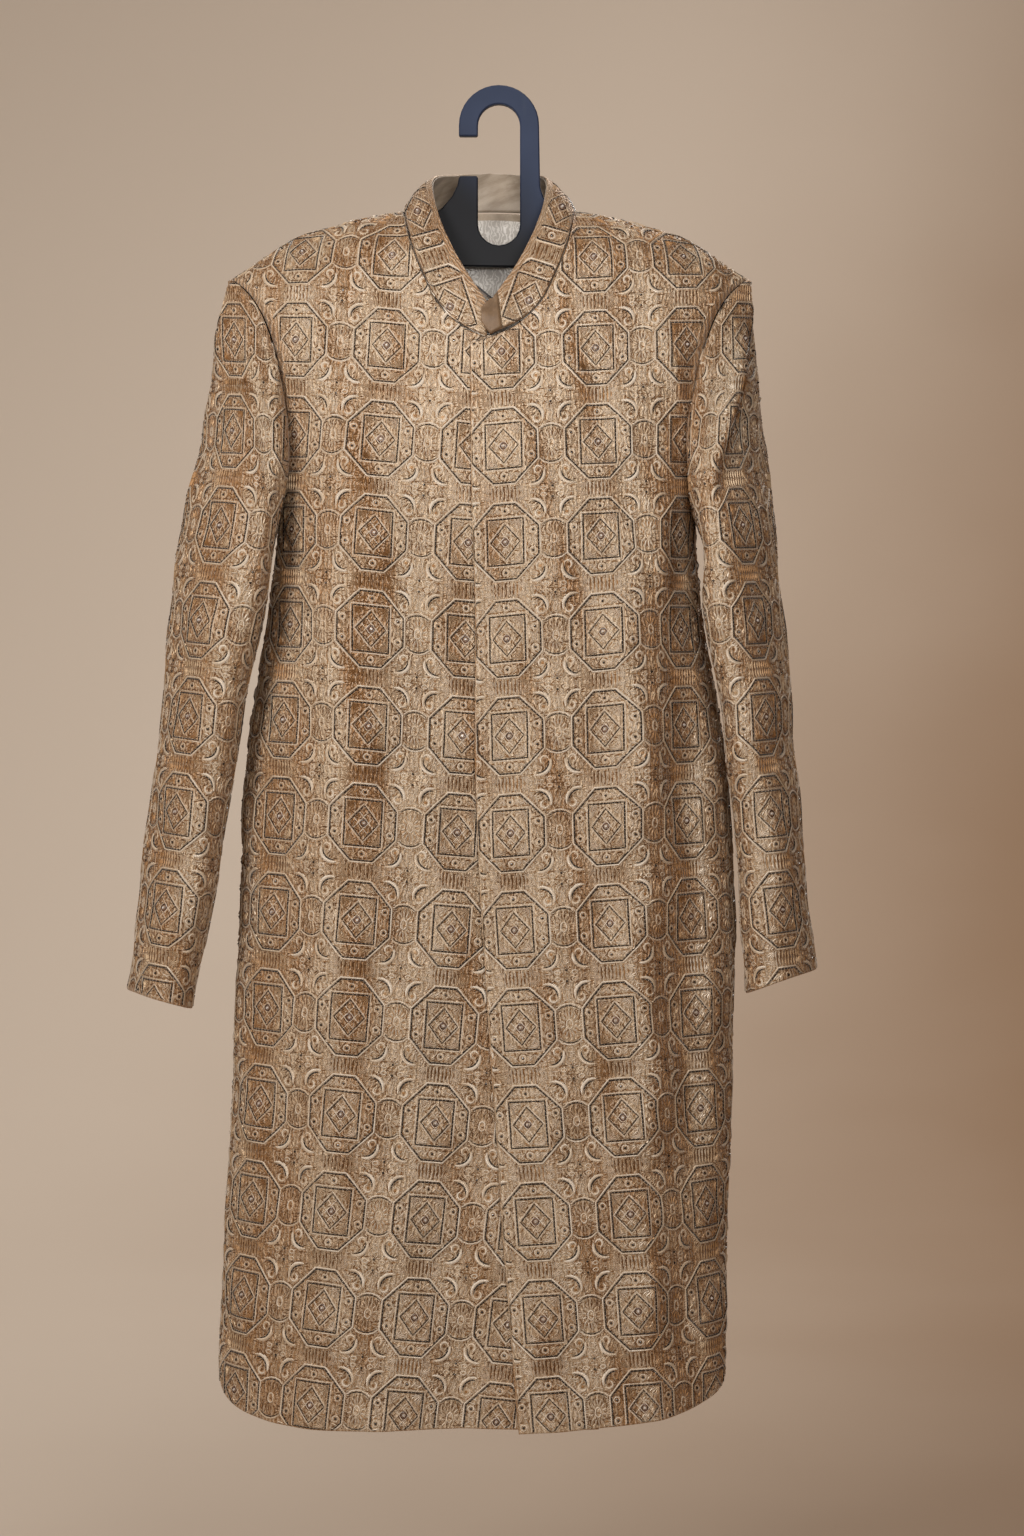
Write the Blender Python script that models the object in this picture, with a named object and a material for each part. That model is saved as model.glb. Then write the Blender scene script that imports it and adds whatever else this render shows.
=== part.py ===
"""A sherwani coat hanging on a flat hanger.

Metres, +Z up. The coat's front faces -Y, so the wearer's left is on +X. The origin is the
underside of the hook's crown, where the hanger bears on the rail. Every cloth piece is a
thin wall: a grid of points on the hanging form, and the same grid moved in by the cloth.
"""
import math

import bmesh
import bpy
import numpy as np

# ---------------------------------------------------------------- driving sizes
CLOTH = 0.002                # embroidered brocade with its interlining
LINING = 0.001               # satin lining
LINING_SLACK = 0.0035        # the back lining hangs this far inside the back
SEAM_GAP = 0.0003            # air between two pieces that meet at a seam
LAP_LIFT = CLOTH + 0.0020    # how far the over front stands off the under front
COAT_CENTRE = -0.0085        # the coat hangs a little to one side of the hook

SHOULDER_OUT = 0.2325        # shoulder point, from the coat's centre line
NECK_OUT = 0.0775            # neck point, from the coat's centre line
NECK_HEIGHT = -0.097         # height of both neck points
NECK_RISE = 0.060            # how far the form would rise between the neck points
BACK_NECK_RISE = 0.006       # the back neck seam's middle above the neck points
ROLL = 0.060                 # drop over which the cloth rolls off the shoulder
ROLL_POWER = 0.60
SQUARENESS = 0.85            # below 1 the sections are squarer than an ellipse

ARMHOLE_DROP = 0.209         # underarm point below the shoulder point
ARMHOLE_TURN = 0.150         # below this drop the seams turn in to the underarm point
LAP_WIDTH = 0.070            # width of the under front that the over front hides
LAP_FADE = 0.045             # width over which the over front settles back on the form
LAP_FULL = -0.160            # the over front stands fully off the under one below this
SLIT_TOP = -0.930            # side slits run from here to the hem
SLIT_OPEN = 0.0030           # half the slit's opening at the hem
HEM = -1.180                 # height of the hem, about which the panels' own hems vary

# drop of the shoulder seam below the neck point, at distances out from the neck point
SHOULDER_COLUMNS = ("out", "drop")
SHOULDER_SEAM = (
    (0.000, 0.000),
    (0.035, 0.0055),
    (0.062, 0.0130),
    (0.092, 0.0215),
    (0.112, 0.0320),
    (0.138, 0.0500),
    (0.155, 0.0605),
    (0.200, 0.0950),
)

# sections of the hanging body: side edges, and how far front and back stand out
BODY_COLUMNS = ("height", "left", "right", "front", "back")
BODY_SECTIONS = (
    (-0.060, -0.2420, 0.2250, 0.036, 0.042),
    (-0.160, -0.2420, 0.2250, 0.052, 0.056),
    (-0.230, -0.2250, 0.2060, 0.066, 0.068),
    (-0.300, -0.2060, 0.1870, 0.078, 0.078),
    (-0.370, -0.1990, 0.1780, 0.088, 0.085),
    (-0.450, -0.2060, 0.1820, 0.095, 0.089),
    (-0.570, -0.2250, 0.2020, 0.098, 0.090),
    (-0.690, -0.2320, 0.2110, 0.098, 0.091),
    (-0.830, -0.2370, 0.2110, 0.098, 0.093),
    (-0.990, -0.2450, 0.2060, 0.098, 0.096),
    (-1.200, -0.2550, 0.2030, 0.098, 0.100),
)

# soft vertical folds: side, x at the top and at the hem, heights at which it starts and is
# full, half its width and how far it stands out
BODY_FOLDS = (
    ("front", -0.130, -0.150, -0.200, -0.450, 0.055, 0.010),
    ("front", -0.032, -0.030, -0.230, -0.520, 0.050, -0.015),
    ("front", 0.112, 0.136, -0.300, -0.560, 0.030, 0.017),
    ("back", -0.110, -0.125, -0.300, -0.600, 0.050, 0.010),
    ("back", -0.008, -0.020, -0.260, -0.600, 0.060, -0.014),
    ("back", 0.090, 0.100, -0.300, -0.600, 0.050, 0.010),
)

# front neck seam, from the coat's centre line
NECK_COLUMNS = ("out", "height")
FRONT_NECK = (
    (0.0775, -0.097),
    (0.0700, -0.132),
    (0.0580, -0.163),
    (0.0450, -0.188),
    (0.0250, -0.2075),
    (0.0020, -0.2190),
)

# armhole seams: drop below the shoulder point, distances from the coat's centre line
ARMHOLE_COLUMNS = ("drop", "front", "back")
ARMHOLE = (
    (0.000, 0.2325, 0.2325),
    (0.012, 0.2190, 0.2260),
    (0.030, 0.2060, 0.2190),
    (0.055, 0.1950, 0.2120),
    (0.085, 0.1885, 0.2070),
    (0.120, 0.1850, 0.2040),
    (0.160, 0.1855, 0.2025),
)

# the over front's edge, from the neck to the hem
EDGE_COLUMNS = ("height", "x")
OVER_EDGE = (
    (-0.222, -0.0250),
    (-0.350, -0.0240),
    (-0.463, -0.0205),
    (-0.610, -0.0200),
    (-0.803, -0.0100),
    (-0.935, -0.0005),
    (-1.035, 0.0060),
    (-1.182, 0.0180),
)

# hem of each panel: height at its inner edge, height where its rounded corner begins, height
# where the side edge ends, and how many degrees round the form the corner reaches
HEMS = {
    "front_right": (-1.1790, -1.1800, -1.115, 58),
    "front_left": (-1.1825, -1.1600, -1.126, 44),
    "back": (-1.1740, -1.1740, -1.120, 50),
}
CORNER_POWER = 2.0           # 2 gives each corner an elliptical round

# collar's top edge: share of the band's length from the middle of the back, distance from
# the coat's centre line, depth and height
COLLAR_COLUMNS = ("share", "out", "y", "height")
COLLAR_TOP = (
    (0.00, 0.0000, 0.0390, -0.0550),
    (0.18, 0.0290, 0.0330, -0.0575),
    (0.34, 0.0500, 0.0070, -0.0650),
    (0.50, 0.0500, -0.0170, -0.0860),
    (0.66, 0.0410, -0.0330, -0.1160),
    (0.84, 0.0230, -0.0470, -0.1530),
    (1.00, 0.0020, -0.0570, -0.1850),
)
COLLAR_SIDE_SHARE = 0.34     # share at which the band passes the neck point
NECK_MIDDLE = (-0.010, -0.120)  # y and height of a point inside the band
COLLAR_OVERRUN = 0.13        # how far past the middle a share of 1 more would reach
COLLAR_END = 1.07            # share at which the over end of the band stops
COLLAR_BULGE = 0.0025        # outward crown of the band between its two edges
COLLAR_LIFT = 0.0012         # the band's foot stands this far off the neck seam
COLLAR_FOOT = 0.035          # the band's foot starts this share of its height above the seam
OVER_FOOT = 0.100            # and this much more where it passes over the over front
OVER_START = 0.75            # share at which the band starts to pass over the over front
OVER_FULL = 0.95             # share at which it has done so
LAP_START = 0.80             # share at which the band starts to rise over its other end

# sleeve sections: outer and inner point seen from the front, depth and its middle
SLEEVE_COLUMNS = ("outer_x", "outer_z", "inner_x", "inner_z", "depth", "middle_y", "turn")
RIGHT_SLEEVE = (
    (-0.2410, -0.1565, -0.2030, -0.3670, 0.066, 0.000, 0.00),
    (-0.2530, -0.1850, -0.2000, -0.3790, 0.069, -0.005, 0.22),
    (-0.2620, -0.2250, -0.1975, -0.3900, 0.070, -0.012, 0.36),
    (-0.2700, -0.2740, -0.1970, -0.4010, 0.068, -0.020, 0.42),
    (-0.2780, -0.3240, -0.1990, -0.4130, 0.066, -0.027, 0.44),
    (-0.2870, -0.3800, -0.2030, -0.4300, 0.063, -0.032, 0.42),
    (-0.2960, -0.4600, -0.2105, -0.4730, 0.060, -0.034, 0.38),
    (-0.3040, -0.5550, -0.2265, -0.5540, 0.057, -0.032, 0.32),
    (-0.3140, -0.6400, -0.2420, -0.6400, 0.054, -0.030, 0.26),
    (-0.3240, -0.7200, -0.2560, -0.7250, 0.052, -0.030, 0.24),
    (-0.3335, -0.7980, -0.2725, -0.8140, 0.050, -0.030, 0.22),
)
LEFT_SLEEVE = (
    (0.2240, -0.1575, 0.1840, -0.3670, 0.066, 0.000, 0.00),
    (0.2310, -0.1850, 0.1820, -0.3790, 0.068, -0.005, 0.22),
    (0.2360, -0.2250, 0.1795, -0.3900, 0.068, -0.012, 0.36),
    (0.2410, -0.2740, 0.1790, -0.4010, 0.066, -0.022, 0.42),
    (0.2450, -0.3240, 0.1790, -0.4130, 0.064, -0.032, 0.44),
    (0.2490, -0.3800, 0.1800, -0.4300, 0.062, -0.040, 0.42),
    (0.2540, -0.4500, 0.1815, -0.4680, 0.060, -0.042, 0.40),
    (0.2630, -0.5400, 0.1945, -0.5390, 0.057, -0.040, 0.34),
    (0.2710, -0.6400, 0.2080, -0.6400, 0.054, -0.036, 0.28),
    (0.2780, -0.7200, 0.2155, -0.7250, 0.052, -0.034, 0.26),
    (0.2840, -0.7800, 0.2205, -0.8000, 0.050, -0.032, 0.24),
)
SLEEVE_CLEARANCE = 0.0030    # air between a sleeve and the body's side
SLEEVE_SET_OUT = 0.0014      # the sleeve starts this far out from the armhole's edge
CAP_FADE = 0.42              # share of the sleeve over which the armhole's curve dies away
LEAST_REACH = 0.018          # a sleeve's section is never narrower than twice this

# lining of the back's neck
YOKE_HALF_TOP = 0.062        # half its width at the neck
YOKE_HALF = 0.100            # half its width below
YOKE_WIDE_AT = 0.35          # share of its height at which it is that wide
YOKE_FOOT = -0.330           # height of its lower edge
YOKE_BELOW_NECK = 0.006      # its upper edge below the back neck seam

# flat hanger, with the points of its outline on each side of its neck
BOARD = 0.009                # thickness of the hanger
STRIP = 0.0172               # width of the hook's strip
HOOK_INSIDE = 0.019          # inner radius of the hook
TIP_DROP = 0.010             # straight end of the hook below its arc
HORN_TOP = -0.065            # top of the neck's left horn
HORN_CUT = 0.0015            # its corners are cut off by this much
NOTCH_HALF = 0.019           # half the width of the notch in the neck
NOTCH_CENTRE = -0.1085       # centre of the notch's round end
BOARD_FOOT = -0.1447         # lower edge of the middle of the board
LEFT_NECK = ((-0.0375, -0.0735), (-0.0425, -0.0835), (-0.0515, -0.0940), (-0.0640, -0.1020))
RIGHT_NECK = ((0.0640, -0.1020), (0.0480, -0.0930), (0.0400, -0.0840), (0.0372, -0.0750))
ARM_START = 0.094            # the arms follow the shoulders from here, from the hook
ARM_TAPER = 0.120            # and narrow to their tips from here
ARM_OUT = 0.200              # arm tips, from the hook
ARM_NARROWEST = 0.040        # least height of an arm where it starts
ARM_CLEARANCE = 0.0075       # arm tops below the shoulder seams
ARM_DEEP = 0.034             # depth of an arm at its tip
HANGER_BEVEL = 0.0012

# grids: columns across and rows down each piece
FRONT_GRID = (12, 23)
BACK_GRID = (22, 22)
SLEEVE_ROWS = 14
ARMHOLE_ROWS = 8             # a sleeve has twice as many columns, so the seams match
NECK_ROWS = 7                # the collar has as many columns on each front
COLLAR_BACK_COLUMNS = 12
COLLAR_ROWS = 3
LINING_GRID = (14, 6)

COLOURS = {
    "brocade": ((0.40, 0.29, 0.19, 1), 0.62, 0.0),
    "satin_lining": ((0.43, 0.33, 0.24, 1), 0.38, 0.0),
    "brocade_lining": ((0.50, 0.44, 0.37, 1), 0.45, 0.0),
    "satin_tab": ((0.24, 0.15, 0.08, 1), 0.42, 0.0),
    "slate_plastic": ((0.075, 0.085, 0.105, 1), 0.48, 0.0),
}


# ---------------------------------------------------------------- small tools
def column(table, names, name):
    """One named column of a table."""
    return np.array([row[names.index(name)] for row in table], dtype=float)


def smooth(stations, values, at):
    """The smooth curve through (stations, values), read at the places asked for."""
    stations = np.asarray(stations, float)
    values = np.asarray(values, float)
    if stations[0] > stations[-1]:
        stations = stations[::-1]
        values = values[::-1]
    steps = np.diff(stations)
    slopes = np.diff(values) / steps
    tangents = np.empty_like(values)
    tangents[1:-1] = (slopes[:-1] * steps[1:] + slopes[1:] * steps[:-1]) / (steps[:-1] + steps[1:])
    tangents[0] = slopes[0]
    tangents[-1] = slopes[-1]
    at = np.clip(np.asarray(at, float), stations[0], stations[-1])
    place = np.clip(np.searchsorted(stations, at, side="right") - 1, 0, len(steps) - 1)
    step = steps[place]
    t = (at - stations[place]) / step
    low = values[place] * (1 + 2 * t) * (1 - t) ** 2 + tangents[place] * step * t * (1 - t) ** 2
    high = values[place + 1] * t * t * (3 - 2 * t) + tangents[place + 1] * step * t * t * (t - 1)
    return low + high


def ramp(low, high, at):
    """0 before low, 1 after high, and an even rise between them."""
    t = np.clip((np.asarray(at, float) - low) / (high - low), 0, 1)
    return t * t * (3 - 2 * t)


def unit(vectors):
    return vectors / np.linalg.norm(vectors, axis=-1, keepdims=True)


# ---------------------------------------------------------------- the hanging body
def shoulder_height(x):
    """Height of the shoulder seam at x, rising between the neck points as the form would."""
    out = np.abs(x - COAT_CENTRE)
    drop = smooth(
        column(SHOULDER_SEAM, SHOULDER_COLUMNS, "out"),
        column(SHOULDER_SEAM, SHOULDER_COLUMNS, "drop"),
        out - NECK_OUT,
    )
    rise = NECK_RISE * np.clip(1 - (out / NECK_OUT) ** 2, 0, None)
    return NECK_HEIGHT - drop + rise


def section_sizes(height):
    """Middle, half width, front depth and back depth of the body at a height."""
    heights = column(BODY_SECTIONS, BODY_COLUMNS, "height")
    left, right, front, back = (
        smooth(heights, column(BODY_SECTIONS, BODY_COLUMNS, name), height)
        for name in ("left", "right", "front", "back")
    )
    return (left + right) / 2, (right - left) / 2, front, back


def fold_out(side, x, height):
    """How far the folds of one side stand out at a place."""
    total = np.zeros(np.broadcast(x, height).shape)
    for where, top_x, hem_x, starts, full, half_width, out in BODY_FOLDS:
        if where != side:
            continue
        down = np.clip((starts - height) / (starts - HEM), 0, 1)
        middle = top_x + (hem_x - top_x) * down
        total = total + out * ramp(-starts, -full, -height) * np.exp(-((x - middle) / half_width) ** 2)
    return total


def body_point(side, angle, height):
    """A point of the body: angle is -90 degrees at the left side seam and +90 at the right."""
    angle, height = np.broadcast_arrays(np.asarray(angle, float), np.asarray(height, float))
    middle, half, front, back = section_sizes(height)
    x = middle + half * np.sin(angle)
    facing = -1 if side == "front" else 1
    depth = front if side == "front" else back
    across = np.abs(np.cos(angle))
    drop = (shoulder_height(x) - height) / ROLL
    roll = np.sign(drop) * (1 - (1 - np.clip(np.abs(drop), 0, 1)) ** 2) ** ROLL_POWER
    slit = SLIT_OPEN * ramp(-SLIT_TOP, -HEM, -height)
    out = depth * across ** SQUARENESS * roll + fold_out(side, x, height) * across * np.abs(roll)
    y = facing * (SEAM_GAP / 2 + slit + out)
    return np.stack([x, y, height], axis=-1)


def body_normal(side, angle, height):
    """Outward normal of the body's surface."""
    tiny = 1e-6
    across = body_point(side, angle + tiny, height) - body_point(side, angle - tiny, height)
    down = body_point(side, angle, height - tiny) - body_point(side, angle, height + tiny)
    normal = unit(np.cross(across, down))
    if side == "front":
        return -normal if np.mean(normal[..., 1]) > 0 else normal
    return -normal if np.mean(normal[..., 1]) < 0 else normal


def angle_at(x, height):
    """The section angle of a place given by its x."""
    middle, half, _, _ = section_sizes(height)
    return np.arcsin(np.clip((x - middle) / half, -1, 1))


# ---------------------------------------------------------------- outlines of the panels
def armhole_seam(side, hand, count):
    """Angles and heights along an armhole, from the shoulder point to the underarm."""
    share = (1 - np.cos(np.linspace(0, math.pi, count))) / 2
    drop = share * ARMHOLE_DROP
    out = smooth(column(ARMHOLE, ARMHOLE_COLUMNS, "drop"), column(ARMHOLE, ARMHOLE_COLUMNS, side), drop)
    top = shoulder_height(COAT_CENTRE + hand * SHOULDER_OUT)
    height = top - drop
    angle = angle_at(COAT_CENTRE + hand * out, height)
    low = ramp(ARMHOLE_TURN, ARMHOLE_DROP, drop)
    return angle * (1 - low) + hand * math.pi / 2 * low, height


def outer_edge(side, hand, side_end, rows):
    """Armhole, then side seam and slit, from the shoulder point down."""
    angle, height = armhole_seam(side, hand, ARMHOLE_ROWS + 1)
    below = np.linspace(height[-1], side_end, rows - ARMHOLE_ROWS + 1)[1:]
    return np.append(angle, np.full(len(below), hand * math.pi / 2)), np.append(height, below)


def inner_edge(hand, rows):
    """Front neck seam, then the panel's own front edge, from the neck point down."""
    share = np.linspace(0, 1, NECK_ROWS + 1)
    order = np.linspace(0, 1, len(FRONT_NECK))
    out = smooth(order, column(FRONT_NECK, NECK_COLUMNS, "out"), share)
    height = smooth(order, column(FRONT_NECK, NECK_COLUMNS, "height"), share)
    x = COAT_CENTRE + hand * out
    foot = HEMS["front_left" if hand > 0 else "front_right"][0]
    below = np.linspace(height[-1], foot, rows - NECK_ROWS + 1)[1:]
    edge = smooth(column(OVER_EDGE, EDGE_COLUMNS, "height"), column(OVER_EDGE, EDGE_COLUMNS, "x"), below)
    if hand > 0:
        height[-1], x[-1] = OVER_EDGE[0]
    else:
        edge = edge + LAP_WIDTH
    x = np.append(x, edge)
    height = np.append(height, below)
    return angle_at(x, height), height


def shoulder_edge(hand, count):
    """Shoulder seam from the neck point out to the shoulder point."""
    x = COAT_CENTRE + hand * np.linspace(NECK_OUT, SHOULDER_OUT, count)
    height = shoulder_height(x)
    return angle_at(x, height), height


def hem_edge(panel, start_angle, hand, count):
    """Hem of a panel from an angle out to its side edge, round the corner."""
    inner, corner, side_end, span = HEMS[panel]
    end = hand * math.pi / 2
    share = np.sin(np.linspace(0, math.pi / 2, count))
    angle = start_angle + (end - start_angle) * share
    into = np.clip(1 - np.abs(end - angle) / math.radians(span), 0, 1)
    level = inner + (corner - inner) * np.abs(angle - start_angle) / abs(end - start_angle)
    return angle, level + (side_end - level) * (1 - np.sqrt(1 - into ** CORNER_POWER))


def patch(top, bottom, first, last):
    """Fill the four edges of a panel, each a pair of angles and heights."""
    filled = []
    for upper, lower, left, right in zip(top, bottom, first, last):
        across = np.linspace(0, 1, len(upper))[None, :]
        down = np.linspace(0, 1, len(left))[:, None]
        edges = (1 - down) * upper[None, :] + down * lower[None, :]
        sides = (1 - across) * left[:, None] + across * right[:, None]
        corners = (
            (1 - down) * ((1 - across) * upper[0] + across * upper[-1])
            + down * ((1 - across) * lower[0] + across * lower[-1])
        )
        filled.append(edges + sides - corners)
    return filled


def front_patch(hand, columns, rows):
    """Angles and heights of a front panel, from its front edge to its side."""
    panel = "front_left" if hand > 0 else "front_right"
    first = inner_edge(hand, rows)
    last = outer_edge("front", hand, HEMS[panel][2], rows)
    top = shoulder_edge(hand, columns + 1)
    bottom = hem_edge(panel, first[0][-1], hand, columns + 1)
    return patch(top, bottom, first, last)


def back_patch(columns, rows):
    """Angles and heights of the back, from its left side to its right."""
    first = outer_edge("back", -1, HEMS["back"][2], rows)
    last = outer_edge("back", 1, HEMS["back"][2], rows)
    share = np.sin(np.linspace(-math.pi / 2, math.pi / 2, columns + 1))
    out = np.clip(share * SHOULDER_OUT, -SHOULDER_OUT, SHOULDER_OUT)
    x = COAT_CENTRE + out
    neck = NECK_HEIGHT + BACK_NECK_RISE * (1 - (np.abs(out) / NECK_OUT) ** 2)
    height = np.where(np.abs(out) < NECK_OUT, neck, shoulder_height(x))
    top = (angle_at(x, height), height)
    halves = [hem_edge("back", 0.0, hand, columns // 2 + 1) for hand in (-1, 1)]
    bottom = [np.append(left[::-1], right[1:]) for left, right in zip(*halves)]
    return patch(top, bottom, first, last)


# ---------------------------------------------------------------- solids
def new_object(name, mesh, material):
    piece = bpy.data.objects.new(name, mesh)
    bpy.context.scene.collection.objects.link(piece)
    mesh.materials.append(MATERIALS[material])
    mesh.shade_smooth()
    mesh.set_sharp_from_angle(angle=math.radians(40))
    return piece


def wall(name, outside, normals, thickness, material, ring=False):
    """A closed wall between a grid of points and the same grid moved in."""
    inside = outside - normals * thickness
    rows, columns = outside.shape[:2]
    shift = rows * columns
    around = columns if ring else columns - 1

    def place(row, col):
        return row * columns + col % columns

    faces = []
    for row in range(rows - 1):
        for col in range(around):
            quad = [place(row, col), place(row + 1, col), place(row + 1, col + 1), place(row, col + 1)]
            faces.append(quad)
            faces.append([corner + shift for corner in reversed(quad)])
    rims = [[place(0, col) for col in range(around + 1)]]
    rims.append([place(rows - 1, col) for col in range(around, -1, -1)])
    if not ring:
        rims.append([place(row, 0) for row in range(rows - 1, -1, -1)])
        rims.append([place(row, columns - 1) for row in range(rows)])
    for rim in rims:
        for one, two in zip(rim[:-1], rim[1:]):
            faces.append([one, two, two + shift, one + shift])
    mesh = bpy.data.meshes.new(name)
    points = np.concatenate([outside.reshape(-1, 3), inside.reshape(-1, 3)])
    mesh.from_pydata(points.tolist(), [], faces)
    work = bmesh.new()
    work.from_mesh(mesh)
    bmesh.ops.recalc_face_normals(work, faces=work.faces)
    bmesh.ops.triangulate(work, faces=work.faces)
    work.to_mesh(mesh)
    work.free()
    return new_object(name, mesh, material)


# ---------------------------------------------------------------- fronts and back
def make_front(name, hand):
    angle, height = front_patch(hand, *FRONT_GRID)
    points = body_point("front", angle, height)
    normals = body_normal("front", angle, height)
    if hand > 0:
        edge = smooth(
            column(OVER_EDGE, EDGE_COLUMNS, "height"), column(OVER_EDGE, EDGE_COLUMNS, "x"), height
        )
        past = points[..., 0] - edge - LAP_WIDTH
        lift = LAP_LIFT * (1 - ramp(0, LAP_FADE, past)) * ramp(-NECK_HEIGHT, -LAP_FULL, -height)
        points = points + normals * lift[..., None]
    return wall(name, points, normals, CLOTH, "brocade")


def make_back():
    angle, height = back_patch(*BACK_GRID)
    points = body_point("back", angle, height)
    return wall("back", points, body_normal("back", angle, height), CLOTH, "brocade")


# ---------------------------------------------------------------- sleeves
def armhole_ring(hand, count):
    """The armhole as one ring: down the front to the underarm and up the back."""
    half = count // 2
    turn = np.linspace(0, 2 * math.pi, count, endpoint=False)
    front = body_point("front", *armhole_seam("front", hand, half + 1))
    back = body_point("back", *armhole_seam("back", hand, half + 1))
    ring = np.concatenate([front[:-1], back[::-1][:-1]])
    return turn, ring


def side_of_body(y, height):
    """Distance of the body's surface from its middle, at a depth y and a height."""
    angle = np.linspace(0, math.pi / 2, 60)
    reach = np.zeros(np.shape(y))
    for place in np.ndindex(np.shape(y)):
        side = "front" if y[place] < 0 else "back"
        line = body_point(side, angle, height[place])
        reach[place] = np.interp(-abs(y[place]), -np.abs(line[:, 1]), line[:, 0], left=0.0)
    return reach


def keep_off_body(rings, hand):
    """Push a sleeve's rings out, where they would come too near the body."""
    middle = section_sizes(rings[..., 2])[0]
    right_side = side_of_body(rings[..., 1], rings[..., 2])
    reach = right_side if hand > 0 else 2 * middle - right_side
    nearest = hand * reach + SLEEVE_CLEARANCE
    pushed = rings.copy()
    pushed[1:, :, 0] = hand * np.maximum(hand * rings[..., 0], nearest)[1:]
    return pushed


def sleeve_rings(table, hand, count, rows):
    """Rings down a sleeve: leaning ellipses, with the armhole's own curve at the top."""
    turn, hole = armhole_ring(hand, count)
    share = np.linspace(0, 1, len(table))
    down = np.linspace(0, 1, rows + 1)
    sizes = {
        name: smooth(share, column(table, SLEEVE_COLUMNS, name), down)[:, None]
        for name in SLEEVE_COLUMNS
    }
    aside = sizes["depth"] * sizes["turn"]
    reach = (sizes["outer_x"] - sizes["inner_x"]) / 2
    reach = np.sign(reach) * np.sqrt(np.maximum(reach ** 2 - aside ** 2, LEAST_REACH ** 2))
    rise = (sizes["outer_z"] - sizes["inner_z"]) / 2
    x = (sizes["outer_x"] + sizes["inner_x"]) / 2 + reach * np.cos(turn) - hand * aside * np.sin(turn)
    y = sizes["middle_y"] - sizes["depth"] * np.sin(turn)
    z = (sizes["outer_z"] + sizes["inner_z"]) / 2 + rise * np.cos(turn)
    rings = np.stack([x, y, z], axis=-1)
    cap = 1 - ramp(0, CAP_FADE, down)[:, None, None]
    hole = hole + np.array([hand * SLEEVE_SET_OUT, 0, 0])
    return keep_off_body(rings + (hole - rings[0])[None] * cap, hand)


def ring_normals(rings):
    """Outward normals of a tube given as rings."""
    around = np.roll(rings, -1, axis=1) - np.roll(rings, 1, axis=1)
    along = np.gradient(rings, axis=0)
    normals = unit(np.cross(around, along))
    outward = rings - rings.mean(axis=1, keepdims=True)
    return normals * np.sign(np.sum(normals * outward, axis=-1, keepdims=True))


def make_sleeve(name, table, hand):
    rings = sleeve_rings(table, hand, 2 * ARMHOLE_ROWS, SLEEVE_ROWS)
    normals = ring_normals(rings)
    normals[0, :, 0] = hand * np.minimum(hand * normals[0, :, 0], 0)
    return wall(name, rings, unit(normals), CLOTH, "brocade", ring=True)


# ---------------------------------------------------------------- collar
def overrun(share):
    """How far the over end of the band runs past the coat's centre line."""
    return COLLAR_OVERRUN * np.clip(share - 1, 0, None)


def neck_seam(share):
    """Points of the neck seam: share is -1 and 1 at the front ends, 0 at the back."""
    hand = np.where(share < 0, -1.0, 1.0)
    along = np.abs(share)
    order = np.linspace(0, 1, len(FRONT_NECK))
    past_side = np.clip((along - COLLAR_SIDE_SHARE) / (1 - COLLAR_SIDE_SHARE), 0, 1)
    out = smooth(order, column(FRONT_NECK, NECK_COLUMNS, "out"), past_side) - overrun(share)
    height = smooth(order, column(FRONT_NECK, NECK_COLUMNS, "height"), past_side)
    front = body_point("front", angle_at(COAT_CENTRE + hand * out, height), height)
    back_out = NECK_OUT * np.sin(np.clip(along / COLLAR_SIDE_SHARE, 0, 1) * math.pi / 2)
    back_height = NECK_HEIGHT + BACK_NECK_RISE * (1 - (back_out / NECK_OUT) ** 2)
    back = body_point("back", angle_at(COAT_CENTRE + hand * back_out, back_height), back_height)
    behind = (along < COLLAR_SIDE_SHARE)[..., None]
    return np.where(behind, back, front)


def collar_grid(share, rows):
    """Points and outward normals of the collar band, from its foot to its top edge."""
    names = COLLAR_COLUMNS
    hand = np.where(share < 0, -1.0, 1.0)
    stations = column(COLLAR_TOP, names, "share")
    out, y, height = (smooth(stations, column(COLLAR_TOP, names, name), np.abs(share)) for name in names[1:])
    edge = np.stack([COAT_CENTRE + hand * (out - overrun(share)), y, height], axis=-1)
    seam = neck_seam(share)
    foot = COLLAR_FOOT + OVER_FOOT * ramp(OVER_START, OVER_FULL, share)
    up = (foot + (1 - foot) * np.linspace(0, 1, rows + 1)[:, None])[..., None]
    grid = seam[None] * (1 - up) + edge[None] * up
    along = np.gradient(grid, axis=1)
    rise = np.broadcast_to(edge - seam, grid.shape)
    normals = unit(np.cross(along, rise))
    middle = np.array([COAT_CENTRE, *NECK_MIDDLE])
    flip = np.sign(np.mean(np.sum(normals * (grid - middle), axis=-1)))
    normals = normals * flip
    crown = COLLAR_BULGE * 4 * up * (1 - up)
    return grid + normals * crown, normals


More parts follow.
